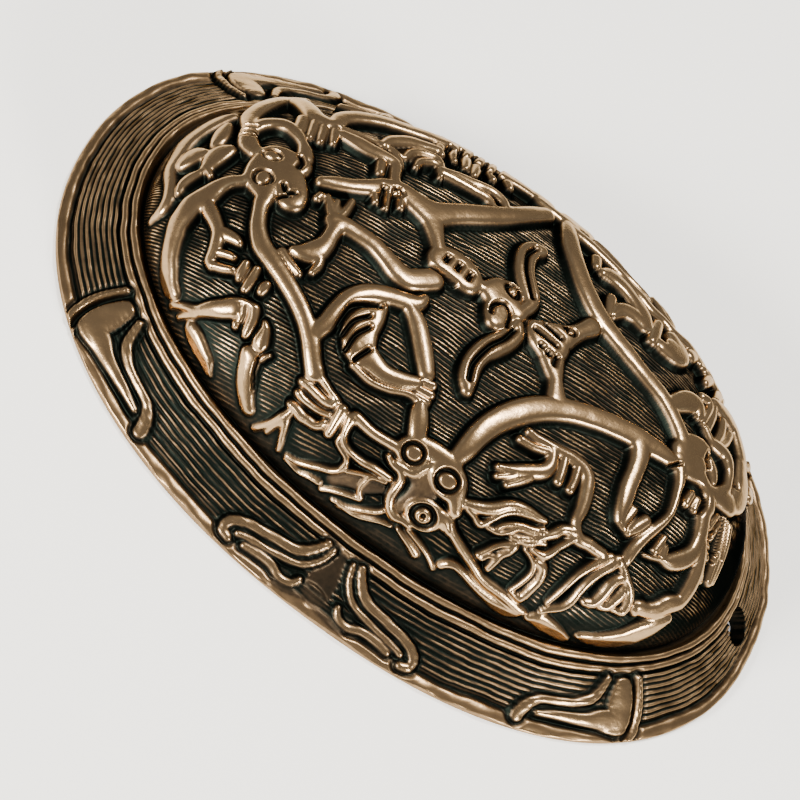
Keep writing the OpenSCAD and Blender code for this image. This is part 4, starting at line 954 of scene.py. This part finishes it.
def opened(spots, middle):
    """Widens a grid of points round a block of cells into a round hole. Gives new places across the hole and
    up the slope, the first and last row and column of the block to leave open, and which points moved."""
    s, w = seen_down_hole(spots, middle)
    rows, columns = spots.shape[:2]
    row = np.flatnonzero(np.abs(w[:, columns // 2]) < HOLE_RADIUS * BLOCK_PART)
    centre_row = row[len(row) // 2]
    column = np.flatnonzero(np.abs(s[centre_row]) < HOLE_RADIUS * BLOCK_PART)
    r0, r1, c0, c1 = row[0], row[-1], column[0], column[-1]
    a = (np.arange(columns)[None, :] - (c0 + c1) / 2) / ((c1 - c0) / 2) * np.ones((rows, 1))
    b = (np.arange(rows)[:, None] - (r0 + r1) / 2) / ((r1 - r0) / 2) * np.ones((1, columns))
    out = np.maximum(np.abs(a), np.abs(b))
    kept = np.clip((out - 1) / (SPREAD - 1), 0, 1)
    turn = np.arctan2(b * np.sign(w[r1, columns // 2]), a * np.sign(s[centre_row, c1]))
    moved = (out < SPREAD) & (out > 0.99)
    new_s = (1 - kept) * HOLE_RADIUS * np.cos(turn) + kept * s
    new_w = (1 - kept) * HOLE_RADIUS * np.sin(turn) + kept * w
    return np.where(moved, new_s, s), np.where(moved, new_w, w), (r0, r1, c0, c1), moved


# Crown and flanks of the dome, with the relief: rows evenly spaced along its profile
profile = np.linspace(0, 1, 4001)
profile_steps = np.hypot(np.diff(profile) * (DOME_A + DOME_B) / 2, np.diff(dome_z(profile)))
profile_length = np.concatenate([[0], np.cumsum(profile_steps)])
dome_rows = int(round(profile_length[-1] / ROW_STEP))
row_shares = np.interp(np.linspace(0, profile_length[-1], dome_rows + 1)[1:], profile_length, profile)
row_counts = [fewer_columns(COLUMNS, part) for part in row_shares]
base = np.vstack([[[0.0, 0.0]]] + [
    oval(DOME_A * r, DOME_B * r, FOOT_POWER, columns_of(n)) for r, n in zip(row_shares, row_counts)])
outer = dome_point(base[:, 0], base[:, 1])
drop, dome_tone, dome_line, dome_ground = dome_relief(outer)
surface = outer - dome_normal(base[:, 0], base[:, 1]) * drop[:, None]
ends = np.concatenate([[0, 1], 1 + np.cumsum(row_counts)])
for first, last in zip(ends[:-1], ends[1:]):
    add_ring(surface[first:last], dome_tone[first:last])

# Moat between the dome and the rim: inset, height, tone
for inset, z, moat_tone in ((0.95, 5.75, 0.06), (0.65, 5.8, 0.16), (0.3, 5.95, 0.4), (0.0, 6.2, 0.68)):
    flat_ring(oval(DOME_A - inset, DOME_B - inset, FOOT_POWER, ring_t), z, moat_tone)

# Sloping rim, opened at the hole
rim_parts = np.linspace(1.03, 0.045, RIM_ROWS)
grid_t = np.broadcast_to(ring_t, (RIM_ROWS, COLUMNS)).copy()
grid_part = np.broadcast_to(rim_parts[:, None], (RIM_ROWS, COLUMNS)).copy()
window = hole_window(*WINDOW_ABOVE)
window_t, window_part = grid_t[:, window], grid_part[:, window]
window_t = np.where(window_t > math.pi, window_t - 2 * math.pi, window_t)
want_s, want_w, block_above, moved = opened(slope_point(window_t, window_part), hole_top)
for _ in range(FIT_ROUNDS):
    now_s, now_w = seen_down_hole(slope_point(window_t, window_part), hole_top)
    window_t = np.where(moved, window_t + (want_s - now_s) / RIM_B, window_t)
    window_part = np.where(moved, window_part + (want_w - now_w) / math.hypot(SLOPE_A, RIDGE_Z), window_part)
grid_t[:, window] = window_t
grid_part[:, window] = window_part
rise, rim_tone = rim_relief(grid_t.ravel(), grid_part.ravel())
rim_surface = slope_point(grid_t.ravel(), grid_part.ravel(), rise).reshape(RIM_ROWS, COLUMNS, 3)
numbers_above = add_grid(rim_surface, rim_tone.reshape(RIM_ROWS, COLUMNS), window, block_above)

# Lip, rounded over to the flat underside
lip_out = unit(oval(1 / RIM_A, 1 / RIM_B, 2, ring_t))
for degrees in (25, 0, -30, -60, -90):
    turn = math.radians(degrees)
    plan = oval(RIM_A, RIM_B, RIM_POWER, ring_t) - lip_out * LIP * (1 - math.cos(turn))
    flat_ring(plan, LIP * (1 + math.sin(turn)), LIP_TONE)

# Underside, as parts of the slope and heights, up to the hollow's foot
under_columns = COLUMNS // 2
under_t = columns_of(under_columns)
under_rows = [(p, 0.0) for p in (0.09, 0.16, 0.23, 0.3)]
under_rows += [(0.3 + 0.4 * k / 7, 1.5 * k / 7) for k in range(1, 8)]
under_rows += [(0.7 + 0.45 * k / 8, 1.5 + 2.1 * k / 8) for k in range(1, 9)]
under = np.array([
    np.column_stack([slope_point(under_t, np.full(under_columns, p))[:, :2], np.full(under_columns, z)])
    for p, z in under_rows])
hollow_foot = np.column_stack([
    oval(HOLLOW_A, HOLLOW_B, FOOT_POWER, under_t), np.full(under_columns, RIDGE_Z - 2)])
steps = np.arange(1, 5)[:, None, None] / 4
under = np.concatenate([under, under[-1] + (hollow_foot - under[-1]) * steps])
window = hole_window(*WINDOW_BELOW)
patch = under[:, window]
hole_under = hole_top + hole_axis * ((patch - hole_top) @ hole_axis)[10:20].mean()
new_s, new_w, block_below, moved = opened(patch, hole_under)
now_s, now_w = seen_down_hole(patch, hole_under)
shift_s = np.where(moved, new_s - now_s, 0)
shift_w = np.where(moved, new_w - now_w, 0)
under[:, window] = patch + shift_s[..., None] * hole_across + shift_w[..., None] * hole_up
first_under = len(rings)
numbers_below = add_grid(under, np.full(len(under), UNDER_TONE), window, block_below)

# Hollow, from its foot up to the crown
hollow_steps = np.arange(0, profile_length[-1] - 0.5, ROW_STEP * 6)
hollow_shares = np.interp(hollow_steps, profile_length[-1] - profile_length[::-1], profile[::-1])
for part in hollow_shares:
    columns = columns_of(fewer_columns(under_columns // 2, part))
    plan = oval(HOLLOW_A * part, HOLLOW_B * part, FOOT_POWER, columns)
    flat_ring(plan, dome_z(part, HOLLOW_HEIGHT), HOLLOW_TONE)
flat_ring(np.zeros((1, 2)), RIDGE_Z + HOLLOW_HEIGHT, HOLLOW_TONE)
shape = np.vstack(ring_points)
tone = np.concatenate(ring_tones)


def face_vectors(triangles):
    """Vectors across triangles, as long as twice their areas."""
    corner = shape[triangles]
    return np.cross(corner[:, 1] - corner[:, 0], corner[:, 2] - corner[:, 0])


def hole_loop(numbers, block):
    """Numbers of the points round a block of cells, in order of their turn round the hole, and the turns."""
    r0, r1, c0, c1 = block
    loop = np.concatenate([
        numbers[r0, c0:c1], numbers[r0:r1, c1], numbers[r1, c1:c0:-1], numbers[r1:r0:-1, c0]])
    s, w = seen_down_hole(shape[loop], hole_top)
    turn = np.arctan2(w, s)
    order = np.argsort(turn)
    return loop[order], turn[order]


# Wall of the hole, from the slope down to the underside
upper, upper_turn = hole_loop(numbers_above, block_above)
lower, lower_turn = hole_loop(numbers_below, block_below)
upper_turn = np.append(upper_turn, upper_turn[0] + 2 * math.pi)
lower_turn = np.append(lower_turn, lower_turn[0] + 2 * math.pi)
i = j = 0
wall = []
while i < len(upper) or j < len(lower):
    this_upper, this_lower = upper[i % len(upper)], lower[j % len(lower)]
    if j == len(lower) or (i < len(upper) and upper_turn[i + 1] <= lower_turn[j + 1]):
        i += 1
        wall.append([this_upper, upper[i % len(upper)], this_lower])
    else:
        j += 1
        wall.append([this_upper, lower[j % len(lower)], this_lower])
wall = np.array(wall)
inward = hole_top - shape[wall].mean(axis=1)
inward -= (inward @ hole_axis)[:, None] * hole_axis
if np.sum(face_vectors(wall) * inward) < 0:
    wall = wall[:, ::-1]
add_faces(wall[:, 0], wall[:, 1], wall[:, 2], 0)
tone[upper] *= 0.5
tone[lower] *= 0.5
faces = np.concatenate(faces)
sectors = np.concatenate(sectors)

# Soft normals over the whole casting, so its four pieces meet without a seam
facing = face_vectors(faces)
normals = np.zeros_like(shape)
for axis in range(3):
    for corner in range(3):
        normals[:, axis] += np.bincount(faces[:, corner], facing[:, axis], len(shape))
normals = unit(normals)


def section(eighth):
    """Triangles across the wall at a cut, from the lip up to the crown; eighths of a turn."""
    column = [first + count * eighth // 8 if count > 1 else first for first, count in rings]
    over = column[:first_under][::-1]
    back = column[first_under - 1:]
    cut = []
    i = j = 0
    while i < len(over) - 1 or j < len(back) - 1:
        ahead_i = np.linalg.norm(shape[over[min(i + 1, len(over) - 1)]] - shape[back[j]])
        ahead_j = np.linalg.norm(shape[over[i]] - shape[back[min(j + 1, len(back) - 1)]])
        step_i = j == len(back) - 1 or (i < len(over) - 1 and ahead_i <= ahead_j)
        if over[i] != back[j]:
            cut.append([over[i], over[i + 1] if step_i else back[j + 1], back[j]])
        i += step_i
        j += not step_i
    return np.array(cut)


sections = [section(eighth) for eighth in (1, 3, 5, 7)]


def new_material(name):
    material = bpy.data.materials.new(name)
    material.use_nodes = True
    tree = material.node_tree
    shader = next(node for node in tree.nodes if node.type == "BSDF_PRINCIPLED")
    return material, tree, shader


def add_node(tree, kind, **settings):
    node = tree.nodes.new(kind)
    for key, value in settings.items():
        setattr(node, key, value)
    return node


def set_inputs(node, values):
    for name, value in values.items():
        node.inputs[name].default_value = value


def noise_node(tree, scale, detail):
    place = add_node(tree, "ShaderNodeTexCoord")
    noise = add_node(tree, "ShaderNodeTexNoise")
    set_inputs(noise, {"Scale": scale, "Detail": detail, "Roughness": 0.55})
    tree.links.new(place.outputs["Object"], noise.inputs["Vector"])
    return noise.outputs["Fac"]


def attribute_node(tree, name):
    return add_node(tree, "ShaderNodeAttribute", attribute_name=name).outputs["Fac"]


def math_node(tree, operation, *values):
    node = add_node(tree, "ShaderNodeMath", operation=operation)
    for socket, value in zip(node.inputs, values):
        if isinstance(value, (int, float)):
            socket.default_value = value
        else:
            tree.links.new(value, socket)
    return node.outputs[0]


def add_part(tree, base, value, amount):
    """Adds an amount of a value to another."""
    return math_node(tree, "ADD", base, math_node(tree, "MULTIPLY", value, amount))


def add_noise(tree, base, noise, amount):
    """Adds an amount of a noise, which lies about 0.5, to a value."""
    return add_part(tree, base, math_node(tree, "SUBTRACT", noise, 0.5), amount)


def ramp_node(tree, value, stops):
    """Colour ramp; a stop's colour may be one number for a grey."""
    ramp = add_node(tree, "ShaderNodeValToRGB")
    points = ramp.color_ramp.elements
    while len(points) < len(stops):
        points.new(0.5)
    for point, (place, colour) in zip(points, stops):
        point.position = place
        point.color = (*np.broadcast_to(colour, 3), 1)
    tree.links.new(value, ramp.inputs["Fac"])
    return ramp.outputs["Color"]


# Bronze: black tarnish in the low parts, brown flanks, rubbed crests, and fine hatch lines on the ground
bronze, tree, shader = new_material("cast_bronze")
cloud = noise_node(tree, 260, 5)
speck = noise_node(tree, 1500, 3)
line = add_noise(tree, attribute_node(tree, "line"), speck, 0.35)
wave = math_node(tree, "ABSOLUTE", math_node(tree, "COSINE", math_node(tree, "MULTIPLY", line, math.pi)))
hatch = math_node(tree, "MULTIPLY", math_node(tree, "POWER", wave, 5), attribute_node(tree, "ground"))
shade = add_part(tree, attribute_node(tree, "tone"), hatch, HATCH_TONE)
shade = add_noise(tree, shade, cloud, CLOUD_TONE)
shade = add_noise(tree, shade, speck, SPECK_TONE)
colour = ramp_node(tree, shade, [
    (0.0, (0.004, 0.006, 0.005)),
    (0.16, (0.010, 0.011, 0.009)),
    (0.38, (0.060, 0.041, 0.026)),
    (0.64, (0.285, 0.184, 0.098)),
    (0.84, (0.47, 0.31, 0.165)),
    (1.0, (0.86, 0.665, 0.4)),
])
tree.links.new(colour, shader.inputs["Base Color"])
gloss = ramp_node(tree, shade, [(0.0, 0.5), (0.45, 0.42), (0.8, 0.21), (1.0, 0.15)])
tree.links.new(gloss, shader.inputs["Roughness"])
shader.inputs["Metallic"].default_value = 1.0
tint = ramp_node(tree, shade, [(0.1, 0.12), (0.45, (0.36, 0.28, 0.2)), (0.62, (0.9, 0.78, 0.62))])
tree.links.new(tint, shader.inputs["Specular Tint"])
bump = add_node(tree, "ShaderNodeBump")
set_inputs(bump, {"Strength": 0.22, "Distance": 0.0002})
grain = add_part(tree, noise_node(tree, 900, 4), noise_node(tree, 320, 2), 0.9)
tree.links.new(add_part(tree, grain, hatch, 1.5), bump.inputs["Height"])
tree.links.new(bump.outputs["Normal"], shader.inputs["Normal"])

steel, tree, shader = new_material("pin_metal")
set_inputs(shader, {"Base Color": (0.42, 0.40, 0.36, 1), "Metallic": 1.0})
gloss = ramp_node(tree, noise_node(tree, 300, 4), [(0.3, 0.3), (0.7, 0.5)])
tree.links.new(gloss, shader.inputs["Roughness"])

# The four pieces of the casting; the dome's points come first
hatch_line = np.zeros(len(shape))
hatch_ground = np.zeros(len(shape))
hatch_line[:len(dome_line)] = dome_line
hatch_ground[:len(dome_ground)] = dome_ground
for quarter_number, name in enumerate(("casting_right", "casting_far", "casting_left", "casting_near")):
    mine = faces[sectors == quarter_number]
    mine = np.concatenate([mine, sections[quarter_number - 1], sections[quarter_number][:, ::-1]])
    used, corners = np.unique(mine, return_inverse=True)
    corners = corners.reshape(-1)
    mesh = bpy.data.meshes.new(name)
    mesh.vertices.add(len(used))
    mesh.vertices.foreach_set("co", (shape[used] * MM).astype(np.float32).ravel())
    mesh.loops.add(len(corners))
    mesh.loops.foreach_set("vertex_index", corners.astype(np.int32))
    mesh.polygons.add(len(mine))
    mesh.polygons.foreach_set("loop_start", np.arange(0, len(corners), 3, dtype=np.int32))
    mesh.update(calc_edges=True)
    mesh.validate()
    for label, values in (("tone", tone), ("line", hatch_line), ("ground", hatch_ground)):
        layer = mesh.attributes.new(label, "FLOAT", "POINT")
        layer.data.foreach_set("value", values[used].astype(np.float32))
    mesh.normals_split_custom_set_from_vertices(normals[used].astype(np.float32))
    mesh.materials.append(bronze)
    casting = bpy.data.objects.new(name, mesh)
    bpy.context.scene.collection.objects.link(casting)
    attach(casting, "root")
    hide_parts("shell")

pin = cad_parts["pin"]
pin.data.materials.clear()
pin.data.materials.append(steel)

# Camera at the photo's angle
azimuth, elevation, roll = (math.radians(v) for v in (VIEW_AZIMUTH, VIEW_ELEVATION, VIEW_ROLL))
reach = math.cos(elevation)
back = Vector((math.sin(azimuth) * reach, -math.cos(azimuth) * reach, math.sin(elevation)))
level = Vector((math.cos(azimuth), math.sin(azimuth), 0))
upright = back.cross(level)
right = level * math.cos(roll) + upright * math.sin(roll)
up = upright * math.cos(roll) - level * math.sin(roll)
camera_data = bpy.data.cameras.new("camera")
camera_data.lens = LENS
camera_data.sensor_width = SENSOR
camera_data.sensor_fit = "HORIZONTAL"
camera_data.clip_start = 0.01
camera_data.clip_end = 10
camera = bpy.data.objects.new("camera", camera_data)
stand = (back * VIEW_DISTANCE + right * VIEW_SIDE + up * VIEW_UP) * MM
camera.matrix_world = Matrix.Translation(stand) @ Matrix((right, up, back)).transposed().to_4x4()
bpy.context.scene.collection.objects.link(camera)
bpy.context.scene.camera = camera

# Floor, lights and surroundings
floor_mesh = bpy.data.meshes.new("floor")
floor_mesh.from_pydata([(-3, -3, 0), (3, -3, 0), (3, 3, 0), (-3, 3, 0)], [], [(0, 1, 2, 3)])
floor = bpy.data.objects.new("floor", floor_mesh)
pale, tree, shader = new_material("pale_floor")
set_inputs(shader, {
    "Base Color": (0.97, 0.97, 0.97, 1),
    "Roughness": 0.8,
    "Emission Color": (1, 1, 1, 1),
    "Emission Strength": 0.55,
})
floor_mesh.materials.append(pale)
bpy.context.scene.collection.objects.link(floor)


def soft_light(name, place, aim, size, power_watts):
    light_data = bpy.data.lights.new(name, "AREA")
    light_data.shape = "RECTANGLE"
    light_data.size, light_data.size_y = size
    light_data.energy = power_watts
    light_data.color = (1.0, 0.95, 0.84)
    light = bpy.data.objects.new(name, light_data)
    light.location = place
    light.rotation_euler = (Vector(aim) - Vector(place)).to_track_quat("-Z", "Y").to_euler()
    bpy.context.scene.collection.objects.link(light)


soft_light("light_main", (-0.45, -0.55, 0.3), (0, 0, 0.01), (0.25, 0.16), 15)
soft_light("light_right", (0.6, -0.35, 0.3), (0, 0, 0.01), (0.18, 0.18), 7)
soft_light("light_top", (0.1, 0.3, 0.8), (0, 0, 0), (0.18, 0.18), 8)

world = bpy.data.worlds.new("studio")
world.use_nodes = True
sky = next(node for node in world.node_tree.nodes if node.type == "BACKGROUND")
set_inputs(sky, {"Color": (1, 1, 1, 1), "Strength": 0.3})
bpy.context.scene.world = world
